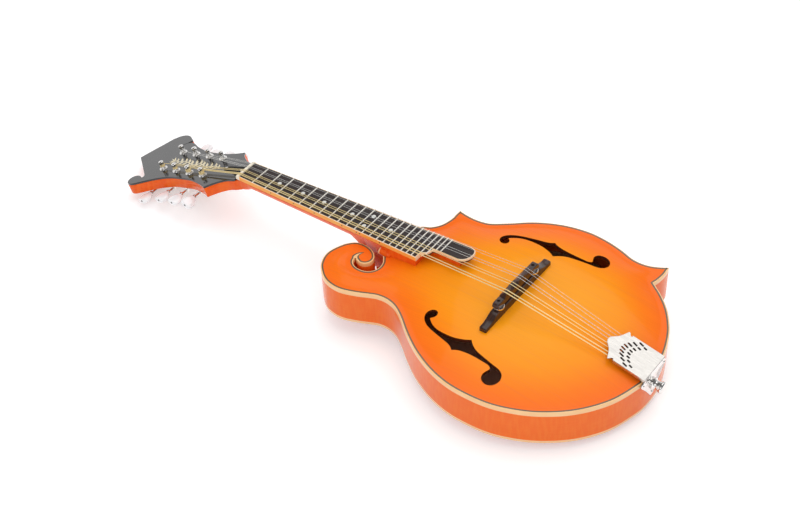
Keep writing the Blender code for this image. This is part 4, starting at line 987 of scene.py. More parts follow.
def makeInside():
    path = kerfingLine()
    travel = lengthAlong(path)
    blocks = np.arange(3, travel[-1] - 3, kerfing["pitch"])
    at, ahead = (np.c_[np.interp(d, travel, path[:, 0]), np.interp(d, travel, path[:, 1])]
                 for d in (blocks, blocks + 1))
    angles = np.arctan2(*(ahead - at).T[::-1])
    kerf = lofted([[(x, -2.3, 0), (x, 2.1, 0), (x, -1.6, -6.2), (x, -2.3, -6.2)] for x in (-2.5, 2.5)])
    deep = body["plate"] + kerfing["gap"]
    for name, z, flip in (("top", -deep, 0), ("back", deep - body["depth"], math.pi)):
        spots = [((x, y, z), (flip, 0, a)) for (x, y), a in zip(at, angles)]
        obj = repeatPiece(f"{name}_kerfing", kerf, spots, finishes["raw"])
        place(obj, finishes["raw"], nodes=[f"{name}_lining"])
    hidden = {"neck_block": "raw", "tail_block": "raw", "tone_bar_bass": "raw", "tone_bar_treble": "raw",
              "truss_rod": "steel"}
    for name, finish in hidden.items():
        materials = frame["nodes"][name].data.materials
        materials.clear()
        materials.append(finishes[finish])


plateEdge = inset(rim, body["binding"] + 0.02)
makeTop(plateEdge)
makeBack(plateEdge)
makeBindings()
makePurfling()
makeRibs()
makeInside()
print("body: top, back, ribs, binding, purfling, kerfing")


# Neck, fingerboard and nut

def boardHalf(x):
    widening = (neck["boardWidth"] - neck["nutWidth"]) / 2
    return neck["nutWidth"] / 2 + widening * min(x / fretX(neck["fullFrets"]), 1)


def glueZ(x):
    lean = math.radians(neck["angle"])
    return nutZ + x * math.tan(lean) - (neck["boardThickness"] + neck["glue"]) / math.cos(lean)


def neckSection(x, half, depth, square, count=36):
    points = []
    for i in range(count + 1):
        c, s = math.cos(math.pi * i / count), math.sin(math.pi * i / count)
        y = math.copysign(abs(c) ** (2 / square), c) * half
        points.append((x, y, glueZ(x) - depth * abs(s) ** (2 / square)))
    return points


def neckSections():                             # boxy at the headstock, then rounded, then the heel
    sections = []
    for x in [*np.linspace(-12, 14, 14), *np.linspace(18, jointX - neck["heel"], 28)]:
        share = min(1, max(0, (14 - x) / 21))
        share = share * share * (3 - 2 * share)
        half = boardHalf(x) if x > 0 else float(np.interp(-x, (0, 6.4, 9.4, 12), (14.3, 15.2, 16.5, 17.1)))
        depth, square = neck["depth"] + neck["swell"] * x, neck["roundness"] + 6.5 * share
        section = np.array(neckSection(x, half, depth, square))
        if x < 0:
            overlayZ = along(headFrame, -x, 0, -head["overlay"] - 0.3).z
            section[:, 2] -= max(0, section[:, 2].max() - overlayZ)
        sections.append(section)
    foot, deep = neck["heelFoot"], glueZ(jointX) - (-body["depth"] + body["plate"] + neck["glue"])
    for share in [*np.linspace(0.02, 1, 30), None]:       # the heel curves down, then stands on its cap
        x = jointX - foot - (neck["heel"] - foot) * (1 - share) ** 2.3 if share else jointX
        shallow, share = neck["depth"] + neck["swell"] * x, share or 1
        depth, square = shallow + (deep - shallow) * share, neck["roundness"] + 3.4 * share
        section = np.array(neckSection(x, boardHalf(x), depth, square))
        drop = (glueZ(x) - section[:, 2]) / (glueZ(x) - section[:, 2]).max()
        section[:, 1] *= 1 - (1 - neck["heelWidth"] / 2 / boardHalf(x)) * share * (1 - (1 - drop) ** 3)
        sections.append(section)
    return sections


def voluteSections():                           # the swelling under the nut
    sections = []
    for x in np.linspace(-26, -2, 13):
        share = (x + 26) / 24
        ring = neckSection(x, 3 + 10.5 * share ** 0.7, 6 + 8 * share ** 0.9, 2.2)
        top = along(headFrame, -x, 0, -head["overlay"] - 3).z
        sections.append([(px, py, pz - glueZ(x) + top) for px, py, pz in ring])
    return sections


def makeNeck():
    shaft = makeMesh("neck_wood", lofted(neckSections()))
    combine(shaft, makeMesh("volute", lofted(voluteSections())), "UNION")
    outline = counterClockwise([(2.5, -14.2), (2.5, 14.2)] + [tuple(p) for p in throughRuns(headRuns, 1.2)])
    wood = plate(outline, -head["thickness"], -head["overlay"] - 0.02, 0.7)
    combine(shaft, makeMesh("head_wood", wood, headFrame), "UNION")
    place(shaft, finishes["neck"], nodes=["neck"])


riser = {                      # the wood between the board's end and the top
    "intoJoint": 4,
    "end": 246.5,
    "inset": 1.2,              # from the board's sides
    "sink": 0.05,              # into the top
    "longEnd": (240, 286),     # under the board's long tongue
    "longSides": (3, 17),
}


def riserPart(ends, sides, count, rows, gap):   # without sides of its own it follows the board's
    sections = []
    for x in np.linspace(*ends, count):
        half, top = boardHalf(x) - riser["inset"], glueZ(x) - gap
        ys = np.linspace(*(sides or (-half, half)), rows)
        foot = rise(np.full(rows, x), ys, body["topArch"]) - riser["sink"]
        sections.append([(x, y, z) for y, z in zip(ys, foot)] + [(x, y, top) for y in ys[::-1]])
    return lofted(sections)


def makeRiser():
    wide = riserPart((jointX - riser["intoJoint"], riser["end"]), None, 24, 20, 0.02)
    tongue = riserPart(riser["longEnd"], riser["longSides"], 16, 8, 0.05)
    place(makeMesh("board_riser", joined(wide, tongue)), finishes["neck"])


cheek = {                      # where the rim meets the neck: a rounded knob, bound at its front
    "middle": (-18.7, 1.5),
    "radii": ((201.4, 3.8), (202.2, 4.1), (207, 4.2), (210.5, 3.9), (212.6, 3.1), (213.8, 1.8), (214.2, 0.4)),
    "binding": (200.3, 201.5),
}


def makeCheek():
    y0, z0 = cheek["middle"]
    arc = np.linspace(0, 2 * math.pi, 20, endpoint=False)
    rings = [[(x, y0 - r * math.cos(a), z0 + r * math.sin(a)) for a in arc] for x, r in cheek["radii"]]
    place(makeMesh("neck_cheek", lofted(rings)), finishes["neck"])
    bound = [[(x, y, z) for _, y, z in rings[1]] for x in cheek["binding"]]
    place(makeMesh("cheek_binding", lofted(bound)), finishes["cream"])


boardEndRuns = [
    [(248.6, -13.4), (250.6, -11.6), (253.8, -9.6), (256.0, -6.8), (257.2, -2.2)],
    [(257.2, -2.2), (262.0, -1.5), (286.5, -1.4)],
    [(286.5, -1.4), (291.5, 0.3), (295.4, 4.0), (297.4, 9.5), (297.2, 15.5), (294.6, 19.4), (289.5, 21.0)],
]
fretting = {
    "count": 24,
    "binding": 1.1,
    "endStrip": 2.2,
    "fretWidth": 1.35,
    "fretHeight": 0.9,
    "fretSetback": 0.35,       # from the board's edges
    "shortFrom": ((22, -11.2), (24, -0.4)),     # up to which fret, from where across the board
    "dots": (3, 5, 7, 10, 12, 15),
    "doubleDot": 12,
    "dotRadius": 2.4,
}


def makeBoard():
    half, thick = neck["boardWidth"] / 2, neck["boardThickness"]
    line = np.vstack([[(neck["glue"], -boardHalf(0)), (120.0, -boardHalf(120)), (248.6, -half)],
                      throughRuns(boardEndRuns, 0.8), [(neck["glue"], boardHalf(0))]])
    w = fretting["binding"]
    board = plate(inset(line, w), -thick, 0, 0.12)
    place(makeMesh("fingerboard_ebony", board, neckFrame), finishes["ebony"], nodes=["fingerboard"])
    profile = [(0, -thick), (0, -0.45), (0.12, -0.12), (0.45, 0), (w, 0), (w, -thick)]
    strip, faces = swept(line, profile)
    thin = np.clip((strip[:, 0] - 249.5) / 3, 0, 1) * (strip[:, 1] < half - 2)   # a thin strip round the end
    foot = -thick + (thick - fretting["endStrip"]) * thin
    strip[:, 2] = np.where(strip[:, 2] < -thick + 0.1, foot, strip[:, 2])
    edging = makeMesh("fingerboard_binding", (strip, faces), neckFrame)
    place(edging, [finishes["boardCream"], finishes["boardAmber"]])
    inward = (instrument @ neckFrame).inverted()
    for face in edging.data.polygons:           # the sides are amber, the top and the long end pale
        facing = inward.to_3x3() @ face.normal
        face.material_index = int(abs(facing.y) > 0.6 and (inward @ face.center).x < 0.249)


def makeFrets():
    spots = []
    for n in range(1, fretting["count"] + 1):
        x = fretX(n)
        high = boardHalf(x) - fretting["fretSetback"]
        short = next(low for last, low in fretting["shortFrom"] if n <= last)
        low = -high if n <= neck["fullFrets"] else short
        spots.append(((x, (low + high) / 2, 0), (0, 0, 0), (1, (high - low) / 2, 1)))
    r, h = fretting["fretWidth"] / 2, fretting["fretHeight"]
    bead = [(r * math.cos(a), h * math.sin(a)) for a in np.linspace(0, math.pi, 9)]
    sections = []
    for y, share in ((-1, 0.45), (-0.985, 0.85), (-0.96, 1), (0.96, 1), (0.985, 0.85), (1, 0.45)):
        sections.append([(x, y, z * share) for x, z in bead] + [(-r, y, -0.5), (r, y, -0.5)])
    frets = repeatPiece("frets", lofted(sections), spots, finishes["fret"], neckFrame)
    place(frets, finishes["fret"])


def makeDots():
    disc = lathed([(0, 0.03), (1, 0.03), (1, -0.2), (0, -0.2)], 24)
    onFace, onSide = [], []
    for n in fretting["dots"]:
        middle, size = (fretX(n) + fretX(n - 1)) / 2, fretting["dotRadius"]
        double = n == fretting["doubleDot"]
        for y in (-8.5, 8.5) if double else (0,):
            onFace.append(((middle, y, 0), (0, 0, 0), (size, size, 1)))
        for x in (middle - 2.2, middle + 2.2) if double else (middle,):
            onSide.append(((x, -boardHalf(x), -2.3), (math.pi / 2, 0, 0), (0.8, 0.8, 1)))
    for name, spots, finish, slot in (("board_dots", onFace, finishes["whiteDot"], "pearl"),
                                      ("side_dots", onSide, finishes["darkDot"], "ebony")):
        place(repeatPiece(name, disc, spots, finish, neckFrame), finish)


def makeNut():
    half, thick = neck["nutWidth"] / 2, neck["boardThickness"]
    profile = [(-4.9, -thick), (0, -thick), (0, 0.9), (-0.2, 1.1), (-1.6, 1.2), (-3.2, 0.75), (-4.3, 0.0),
               (-4.9, -1.0)]
    ends = [(-half, 0.9), (-half + 0.4, 1), (half - 0.4, 1), (half, 0.9)]
    sections = [[(x * (0.97 if s < 1 else 1), y, z * s if z > 0 else z) for x, z in profile] for y, s in ends]
    nut = makeMesh("slotted_nut", lofted(sections), neckFrame)
    slots = [tube([(2, y, 1.3 + r), (-0.9, y, 1.22 + r), (-6, y, -0.3 + r)], r + 0.12, 10)
             for y, r in zip(stringPlaces("nut"), stringRadii)]
    combine(nut, makeMesh("nut_slots", joined(*slots), neckFrame), "DIFFERENCE")
    place(nut, finishes["bone"], nodes=["nut"])


# Strings

strings = {
    "radii": (0.51, 0.33, 0.2, 0.15),
    "nut": (21.4, 2.0),                # from the first course to the last, and within a pair
    "saddle": (36.8, 3.5),
    "hook": (25.0, 4.0),
}
stringRadii = [strings["radii"][i // 2] for i in range(8)]


def stringPlaces(where):
    across, pair = strings[where]
    middles = [(course / 3 - 0.5) * across for course in range(4)]
    return [middle + side for middle in middles for side in (-pair / 2, pair / 2)]


def postPlaces():             # along the headstock and across it, the four bass posts first
    return [(head["firstPost"] + head["postPitch"] * k, side * (head["postSpread"] / 2 - 0.1 * k))
            for side in (1, -1) for k in range(4)]


def evenly(start, end, count):
    return [Vector(start) + (Vector(end) - Vector(start)) * i / count for i in range(count + 1)]


tail = {
    "coverWidth": 38.0,
    "coverLength": 53.4,
    "slope": 10.6,
    "metal": 1.2,
    "endX": 1.9,               # how far past the body's end the fold stands
    "endZ": 6.1,
    "drop": 31.6,
    "pinRadius": 3.6,
    "pinDepth": 15.0,
    "screws": ((-19.2, -2.2), (19.2, -2.2), (0, -27.5)),         # on the apron
    "slotPitch": 3.9,
    "slotWidth": 2.1,
    "slotLean": -14.0,
    "slotRows": ((9, 6.0, 39.0, 0.046), (8, 4.4, 30.8, 0.05)),   # how many, how long, where and how curved
}
coverFrame = shift(tailX + tail["endX"], 0, tail["endZ"]) @ turn(180, "Z") @ turn(-tail["slope"], "Y")


def makeStrings():
    atNut, atSaddle, atHook = (stringPlaces(where) for where in ("nut", "saddle", "hook"))
    posts = postPlaces()
    for index, radius in enumerate(stringRadii):
        name, bass = f"string_{index + 1}", index < 4
        finish, slot = (finishes["bronze"], "bronze") if bass else (finishes["steel"], "steel")
        s, b = posts[index if bass else 11 - index]
        post = along(headFrame, s + 0.6, b - math.copysign(head["postRadius"] + radius - 0.5, b), 4.9)
        before = along(headFrame, s - 4, b - math.copysign(head["postRadius"] + radius, b), head["postHole"])
        nutTop = along(neckFrame, -1.0, atNut[index], 1.25 + radius)
        nutBack = along(neckFrame, -4.2, atNut[index], 0.35 + radius)
        ridge = bridgeX + bridge["ridges"][index // 2]
        saddle = Vector((ridge, atSaddle[index], bridge["stringHeight"] + radius - 0.25))
        hook = along(coverFrame, 37.5 if index % 2 else 40.0, -atHook[index], -tail["metal"] - 2.4)
        headPart = tube([*evenly(post, before, 2), *evenly(before, nutBack, 12)[1:], nutTop], radius)
        place(makeMesh(f"{name}_head", headPart), finish)
        parts = (("play", evenly(nutTop, saddle, 48), "instrument", "saddle"),
                 ("tail", evenly(saddle, hook, 20), "saddle", "instrument"))
        for part, path, near, far in parts:
            obj = makeMesh(f"{name}_{part}", tube(path, radius, 8))
            obj.data.materials.append(finish)
            if part == "play":
                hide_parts(name)
            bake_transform(obj)


makeNeck()
makeRiser()
makeCheek()
makeBoard()
makeFrets()
makeDots()
makeNut()
makeStrings()
print("neck, fingerboard, nut and strings")


# Headstock and tuners

def leafShape():                                # one curved leaf of the pearl vine
    side = [(0, 0.0), (0.8, 0.75), (2.2, 1.15), (3.8, 0.95), (5.2, 0.35), (6.0, 0.0)]
    upper = curveThrough(side, 0.5)
    lower = [(x, -y * 0.55 + 0.12 * x) for x, y in upper[::-1][1:-1]]
    return plate([*map(tuple, upper), *lower], 0.0, 0.06)


def makeOverlay():
    r = head["postRadius"] + 0.2
    drills = [[(s + r * math.cos(a), b + r * math.sin(a)) for a in np.linspace(0, 2 * math.pi, 24)[:-1]]
              for s, b in postPlaces()]
    overlay = plate(throughRuns(headRuns, 1.0), -head["overlay"], 0, 0.35, drills)
    place(makeMesh("black_head_overlay", overlay, headFrame, 30), finishes["black"],
          nodes=["headstock_overlay"])


def screwShape(height=1.0, edge=0.45):          # a small round-headed screw that stands on its face
    return lathed([(0, height), (0.7, 0.9), (1.3, edge), (1.5, 0.0), (0, 0.0)], 20)


def makeBell():                                 # the truss rod's bell-shaped cover
    side = curveThrough([(7.0, 9.6), (9.4, 10.2), (12.5, 9.0), (18.0, 6.4), (25.0, 5.4), (31.0, 4.6),
                         (36.5, 2.6), (39.5, 0)], 0.8)
    bell = np.vstack([side, (side * (1, -1))[-2::-1]])
    cover = joined(plate(bell, 0.0, 1.1, 0.2), plate(inset(counterClockwise(bell), 0.9, True), 1.0, 1.8, 0.3))
    place(makeMesh("bell_cover", cover, headFrame), finishes["cover"], nodes=["truss_rod_cover"])
    spots = [((10.2, 0, 1.8),), ((34.5, 0, 1.8),)]
    screws = repeatPiece("bell_screws", screwShape(), spots, finishes["nickel"], headFrame)
    place(screws, finishes["nickel"])


vine = {
    "stem": [(47, 0.5), (57, -1.6), (69, 1.8), (81, -1.6), (93, 1.8), (105, -1.2), (117, 0.8), (124, 0)],
    "stemRadius": 0.7,
    "leaves": 24,
    "leafAngle": 48,
    "fan": (-50, -18, 18, 50),                  # the angles of the leaves at the tip
}


def makeVine():
    stem = curveThrough(vine["stem"], 1)
    points, faces = tube([(x, y, 0.02) for x, y in stem], vine["stemRadius"], 6)
    flat = (points * (1, 1, 0.08) + (0, 0, 0.02), faces)
    place(makeMesh("vine_stem", flat, headFrame), finishes["inlay"])
    travel = lengthAlong(stem)
    leaves = []
    for index, distance in enumerate(np.linspace(2, travel[-1] - 1, vine["leaves"])):
        x, y = np.interp(distance, travel, stem[:, 0]), np.interp(distance, travel, stem[:, 1])
        sign = 1 if index % 2 else -1
        size = 1.0 + 0.75 * math.sin(math.pi * (index + 3) / (vine["leaves"] + 4))
        angle = sign * math.radians(vine["leafAngle"])
        leaves.append(((x, y, 0.0), (0, 0, angle), (size, size * sign * 1.3, 1)))
    for angle in vine["fan"]:
        leaves.append((vine["stem"][-1] + (0.0,), (0, 0, math.radians(angle)), (1.5, 1.3, 1)))
    obj = repeatPiece("vine_leaves", leafShape(), leaves, finishes["inlay"], headFrame)
    place(obj, finishes["inlay"])


tuner = {
    "postHeight": 10.0,
    "bushing": 4.9,
    "gearRadius": 3.7,
    "gearTeeth": 15,
    "wormRadius": 1.9,
    "wormDepth": 18.5,
    "shaft": 1.4,
    "shaftEnds": (45.2, 45.2, 45.2, 52.0),
    "buttonOverlap": 8.5,      # how far the shaft reaches into its button
    "buttonLength": 15.0,
    "buttonWidth": 15.2,
    "buttonTurns": (-36, -16, -6, 0, 0, 0, 0, 0),      # degrees at rest, as the keys were left
    "buttonThickness": 6.4,
}


def buttonShape(start):
    half, end = tuner["buttonWidth"] / 2, start + tuner["buttonLength"]
    neckHalf = tuner["shaft"] + 2.2
    side = curveThrough([(start, neckHalf - 0.6), (start + 0.3, neckHalf), (start + 1.9, neckHalf + 0.6),
                         (start + 4.6, half - 1.0), (start + 9.0, half), (end - 1.4, half - 0.7),
                         (end - 0.3, half - 2.0), (end, half - 3.4)], 0.6)
    angles = np.linspace(0, 2 * math.pi, 28, endpoint=False)
    sections = []
    for z, w in side:
        t = tuner["buttonThickness"] / 2 * (0.75 + 0.25 * w / half)
        ring = [(math.copysign(abs(math.cos(a)) ** 0.75, math.cos(a)) * w,
                 math.copysign(abs(math.sin(a)) ** 0.75, math.sin(a)) * t, z) for a in angles]
        sections.append(ring)
    return lofted(sections)


def makePost(index, at):
    number, r, top = index + 1, head["postRadius"], tuner["postHeight"]
    gear, gearTop = tuner["gearRadius"], 1.5 - tuner["wormDepth"]
    profile = [(0, top), (1.6, top - 0.05), (r - 0.5, top - 0.3), (r, top - 0.9), (r, top - 3.0),
               (r - 0.35, top - 3.5), (r - 0.7, top - 4.2), (r - 0.7, top - 6), (r - 0.3, top - 6.7),
               (r, top - 7.2), (r, gearTop), (gear - 0.6, gearTop), (gear - 0.6, gearTop - 3),
               (0, gearTop - 3)]
    post = makeMesh(f"post_{number}", lathed(profile, 32), at)
    drill = lathed([(0, 5), (0.75, 5), (0.75, -5), (0, -5)], 16)
    across = shift(0, 0, head["postHole"]) @ turn(90, "X")
    combine(post, makeMesh("post_hole", moved(drill, across), at), "DIFFERENCE")
    place(post, finishes["nickel"], f"post_{number}", [f"tuner_post_{number}"])
    tooth = block((gear - 0.75, -0.45, gearTop - 2.9), (gear, 0.45, gearTop - 0.1), 0.15)
    count = tuner["gearTeeth"]
    teeth = [((0, 0, 0), (0, 0, 2 * math.pi * k / count)) for k in range(count)]
    obj = repeatPiece(f"gear_teeth_{number}", tooth, teeth, finishes["bronze"], at)
    place(obj, finishes["bronze"], f"post_{number}")


def makeWinding(index, at):                     # the string's turns round its post, and the bushing
    number, r, bushing = index + 1, head["postRadius"], tuner["bushing"]
    course = index if index < 4 else 11 - index
    wire = stringRadii[course]
    turns = 4 if wire < 0.3 else 3
    height = turns * wire * 2.1
    finish, slot = (finishes["bronze"], "bronze") if course < 4 else (finishes["steel"], "steel")
    foot = at @ shift(0, 0, head["postHole"] - height)
    obj = windWire(f"string_winding_{number}", r - 0.7 + wire, wire, turns, height, finish, foot, 26)
    place(obj, finish, f"post_{number}")
    bush = [(r + 0.12, 0.0), (bushing, 0.0), (bushing, 0.5), (bushing - 0.35, 1.0), (r + 0.45, 1.0),
            (r + 0.12, 0.6), (r + 0.12, 0.0)]
    place(makeMesh(f"bushing_{number}", lathed(bush, 36), at), finishes["nickel"])


def wormPlace(s):                               # where a worm lies beside its gear, along the headstock
    return s + tuner["gearRadius"] + tuner["wormRadius"] + 0.4


def makeKey(index, s, b):
    number, keyName, side = index + 1, f"key_{index + 1}", 1 if b > 0 else -1
    axis = headFrame @ shift(wormPlace(s), 0, -tuner["wormDepth"]) @ turn(-90 * side, "X")
    end = tuner["shaftEnds"][index % 4]
    worm, thin = tuner["wormRadius"] - 0.35, tuner["shaft"]
    shaft = [(0, end), (thin, end), (thin, 24.1), (worm, 23.4), (worm, 10.2), (thin, 9.5), (thin, 6.8),
             (0, 6.8)]
    collar = [(thin, end - 11.2), (thin + 1.3, end - 11.2), (thin + 1.6, end - 10.6), (thin + 1.6, end - 9.3),
              (thin + 1.2, end - 8.6), (thin, end - 8.6), (thin, end - 11.2)]
    obj = makeMesh(f"key_shaft_{number}", joined(lathed(shaft, 24), lathed(collar, 28)), axis)
    place(obj, finishes["nickel"], keyName, [f"worm_shaft_{number}"])
    thread = axis @ shift(0, 0, b * side - 4.6)
    obj = windWire(f"worm_thread_{number}", worm, 0.42, 4, 9.2, finishes["bronze"], thread, 20, 5)
    place(obj, finishes["bronze"], keyName)
    start = end - tuner["buttonOverlap"]
    turned = axis @ turn(tuner["buttonTurns"][index], "Z")
    obj = makeMesh(f"pearl_button_{number}", buttonShape(start), turned, 60)
    place(obj, finishes["pearl"], keyName, [f"tuner_button_{number}"])
    tip = start + tuner["buttonLength"]
    cap = lathed([(0, tip + 0.02), (1.2, tip + 0.02), (1.5, tip - 0.3), (1.5, tip - 0.9), (0, tip - 0.9)], 20)
    place(makeMesh(f"button_screw_{number}", cap, axis), finishes["darkDot"], keyName)


tunerPlate = {
    "across": (6.6, 27.0),                      # from the headstock's middle
    "past": (9, 13),                            # past the first post and the last
    "ears": ((7.0, 9.2), (24.4, 26.6)),         # across, inside and outside each worm
    "earHalf": 3,
    "earDepth": 2.6,                            # beyond the worm's axis
    "screwAcross": 11.5,
    "screws": (-6.5, 15, 38, 61),               # from the first post
    "lastScrew": 10.5,                          # from the last
}


def makeTunerPlate(name, side, group):          # with a pair of bearing ears for each worm
    first, last = group[0][0], group[3][0]
    before, after = tunerPlate["past"]
    face, earEnd = -head["thickness"] - 0.3, -tuner["wormDepth"] - tunerPlate["earDepth"]
    low, high = sorted(side * y for y in tunerPlate["across"])
    shapes = [block((first - before, low, face - 1), (last + after, high, face), 0.5)]
    for s, _ in group:
        x, half = wormPlace(s), tunerPlate["earHalf"]
        for ear in tunerPlate["ears"]:
            low, high = sorted(side * y for y in ear)
            shapes.append(block((x - half, low, earEnd), (x + half, high, face - 0.5), 0.5))
    place(makeMesh(f"tuner_base_{name}", joined(*shapes), headFrame), finishes["nickel"],
          nodes=[f"tuner_plate_{name}"])
    screw = lathed([(0, -0.9), (0.8, -0.8), (1.5, -0.3), (1.6, 0.0), (0, 0.0)], 20)
    places = [first + x for x in tunerPlate["screws"]] + [last + tunerPlate["lastScrew"]]
    spots = [((x, side * tunerPlate["screwAcross"], face - 1),) for x in places]
    obj = repeatPiece(f"tuner_screws_{name}", screw, spots, finishes["nickel"], headFrame)
    place(obj, finishes["nickel"])


def makeTuners():
    places = postPlaces()
    for index, (s, b) in enumerate(places):
        at = headFrame @ shift(s, b, 0)
        makePost(index, at)
        makeWinding(index, at)
        makeKey(index, s, b)
    makeTunerPlate("bass", 1, places[:4])
    makeTunerPlate("treble", -1, places[4:])


makeOverlay()
makeBell()
makeVine()
makeTuners()
print("headstock and", len(postPlaces()), "tuners")


# Bridge

studs = (("bass", -bridge["studSpread"] / 2), ("treble", bridge["studSpread"] / 2))
saddleFoot = wheelFoot + bridge["wheelHeight"] + 0.3
crown = bridge["stringHeight"] - 0.4
shoulder = crown - 3.4


def drilled(obj, radius, depth, z):             # a hole for each stud
    for _, y in studs:
        drill = moved(lathed([(0, 20), (radius, 20), (radius, depth), (0, depth)], 20), shift(bridgeX, y, z))
        combine(obj, makeMesh("stud_drill", drill), "DIFFERENCE")


def makeBridgeFoot():                           # follows the arch below, and falls to both ends
    half, studHalf, ease = bridge["length"] / 2, bridge["studSpread"] / 2, 0.9
    rounding = bridge["endRounding"]
    ys = np.concatenate([np.linspace(-half, -half + 4, 7)[:-1], np.linspace(-half + 4, half - 4, 81),
                         np.linspace(half - 4, half, 7)[1:]])
    sections = []
    for y in ys:
        w = bridge["width"] / 2 * (1 - 0.1 * (abs(y) / half) ** 3)
        into = max(0, (abs(y) - (half - rounding)) / rounding)
        w *= math.sqrt(max(1 - into ** 2, 0.0)) * 0.2 + 0.8
        foot = rise([bridgeX - w, bridgeX + w], [y, y], body["topArch"])
        outer = max(0, abs(y) - studHalf - 4) / (half - studHalf - 4)
        fall = 0.5 - 0.5 * math.cos(math.pi * min(1, outer * 1.35))
        drop = bridge["baseTop"] - foot.max() - bridge["endHeight"]
        top = bridge["baseTop"] - drop * fall - 0.6 * into ** 2
        section = [(-w, foot[0] + 0.02), (w, foot[1] + 0.02), (w, top - ease),
                   (w - ease * 0.3, top - ease * 0.3), (w - ease, top), (ease - w, top),
                   (ease * 0.3 - w, top - ease * 0.3), (-w, top - ease)]
        sections.append([(bridgeX + x, y, z) for x, z in section])
    base = makeMesh("bridge_foot", lofted(sections))
    drilled(base, 1.7, -3, 18)
    place(base, finishes["rosewood"], nodes=["bridge_base"])


def ridgePlace(y):             # how far towards the tail the saddle's ridge stands, stepped between courses
    position = (y / strings["saddle"][0] + 0.5) * 3
    course = min(3, max(0, int(position + 0.5)))
    position -= course
    after = min(3, course + 1) if position > 0 else max(0, course - 1)
    blend = np.clip((abs(position) - 0.36) / 0.28, 0, 1)
    return bridge["ridges"][course] * (1 - blend / 2) + bridge["ridges"][after] * blend / 2


def makeSaddle():
    half, w = bridge["saddleLength"] / 2, bridge["saddleWidth"] / 2
    knots = [-half - 0.4, -half + 0.2, -half + 1.2, -half + 3, -half + 11, -half + 14.5, 0]
    heights = [saddleFoot + 2.5, shoulder - 1.6, shoulder - 0.5, shoulder, shoulder, crown, crown]
    sections = []
    for y in np.arange(-half - 0.4, half + 0.41, 0.4):
        z = float(np.interp(-abs(y), knots, heights))
        low = saddleFoot + max(0, abs(y) - half + 0.6) * 1.6
        ridge, raised = ridgePlace(y), np.clip((z - shoulder) / (crown - shoulder), 0, 1)
        front = raised * (ridge + 1.5) + (1 - raised) * (w - 0.5)
        rear = raised * (ridge - 1.5) - (1 - raised) * (w - 0.5)
        side = max(z - 0.5 - raised * 2.4, low + 0.2)
        section = [(-w, low), (w, low), (w, side), (front, z), (rear, z), (-w, side)]
        sections.append([(bridgeX + x, y, height) for x, height in section])
    saddle = makeMesh("stepped_saddle", lofted(sections), smooth=28)
    drilled(saddle, 1.75, -12, shoulder)
    place(saddle, finishes["rosewood"], "saddle", ["bridge_saddle"])


def makeWheels():                               # the knurled height wheels and their studs
    r, z, t, low = bridge["wheelRadius"], wheelFoot, bridge["wheelHeight"], 14.2
    profile = [(1.7, z + t), (2.4, z + t), (r - 1.3, z + t - 0.25), (r - 0.7, z + t - 0.1),
               (r - 0.3, z + t - 0.4), (r - 0.3, z + 0.4), (r - 0.7, z + 0.1), (2.4, z), (1.7, z),
               (1.7, z + t)]
    knurl = block((r - 0.5, -0.24, z + 0.35), (r, 0.24, z + t - 0.35), 0.12)
    spots = [((0, 0, 0), (0, 0, 2 * math.pi * k / bridge["knurls"])) for k in range(bridge["knurls"])]
    stud = lathed([(0, shoulder - 2), (1.2, shoulder - 2), (1.6, shoulder - 2.4), (1.6, low + 0.4),
                   (1.2, low), (0, low)], 24)
    for name, y in studs:
        at = shift(bridgeX, y, 0)
        place(makeMesh(f"height_wheel_{name}", lathed(profile, 48), at), finishes["nickel"],
              f"wheel_{name}", [f"thumbwheel_{name}"])
        obj = repeatPiece(f"wheel_knurl_{name}", knurl, spots, finishes["nickel"], at)
        place(obj, finishes["nickel"], f"wheel_{name}")
        obj = makeMesh(f"bridge_post_{name}", stud, at)
        place(obj, finishes["nickel"], nodes=[f"bridge_stud_{name}"])


makeBridgeFoot()
makeSaddle()
makeWheels()
print("bridge")


# Tailpiece and end pin

def slotOutlines():                             # two curved rows of leaning slots
    lean, r = math.radians(tail["slotLean"]), tail["slotWidth"] / 2
    arc = [math.radians(a) for a in range(-90, 91, 30)]
    slots = []
    for count, size, rowX, bend in tail["slotRows"]:
        half = size / 2
        ring = [(half - r + r * math.cos(a), r * math.sin(a)) for a in arc]
        ring += [(-half + r - r * math.cos(a), -r * math.sin(a)) for a in arc]
        for i in range(count):
            y = (i - (count - 1) / 2) * tail["slotPitch"]
            x = rowX - bend * y * y
            slots.append([(x - half + u * math.cos(lean) - v * math.sin(lean),
                           y + u * math.sin(lean) + v * math.cos(lean)) for u, v in ring])
    return slots


def mirrored(side, flip):                       # a half outline and its other half, without a second tip
    return np.vstack([side, (side * flip)[-2::-1]])


def makeLid():
    half, metal = tail["coverWidth"] / 2, tail["metal"]
    front, wing = tail["coverLength"] - 16.6, half + 1.6
    side = throughRuns([
        [(0, half), (front, half)],
        [(front, half), (front - 0.2, half - 1.8), (front + 1.4, half - 1.5), (front + 3.4, wing - 0.6),
         (front + 4.9, wing)],
        [(front + 4.9, wing), (front + 6.4, wing - 3.4), (front + 8.0, 13.4), (front + 10.4, 9.2),
         (front + 13.2, 6.2), (front + 15.4, 3.8), (front + 16.4, 1.6), (front + 16.6, 0)],
    ], 0.7)
    shapes = [plate(mirrored(side, (1, -1)), -metal, 0, 0.3, slotOutlines())]
    for sign in (-1, 1):
        low, high = sorted((sign * half, sign * (half - metal)))
        shapes.append(block((0.6, low, -3.6), (front - 1, high, -0.3), 0.4))
    lid = place(makeMesh("tailpiece_lid", joined(*shapes), coverFrame, 30),
                [finishes["satin"], finishes["inMetal"]], "cover", ["tailpiece_cover"])
    inward = (instrument @ coverFrame).inverted()
    for face in lid.data.polygons:              # the underside is in shade
        centre = inward @ face.center / mm
        within = abs(centre.y) < half - metal - 0.1 and centre.x < front + 3
        face.material_index = int(within and centre.z < -0.15)


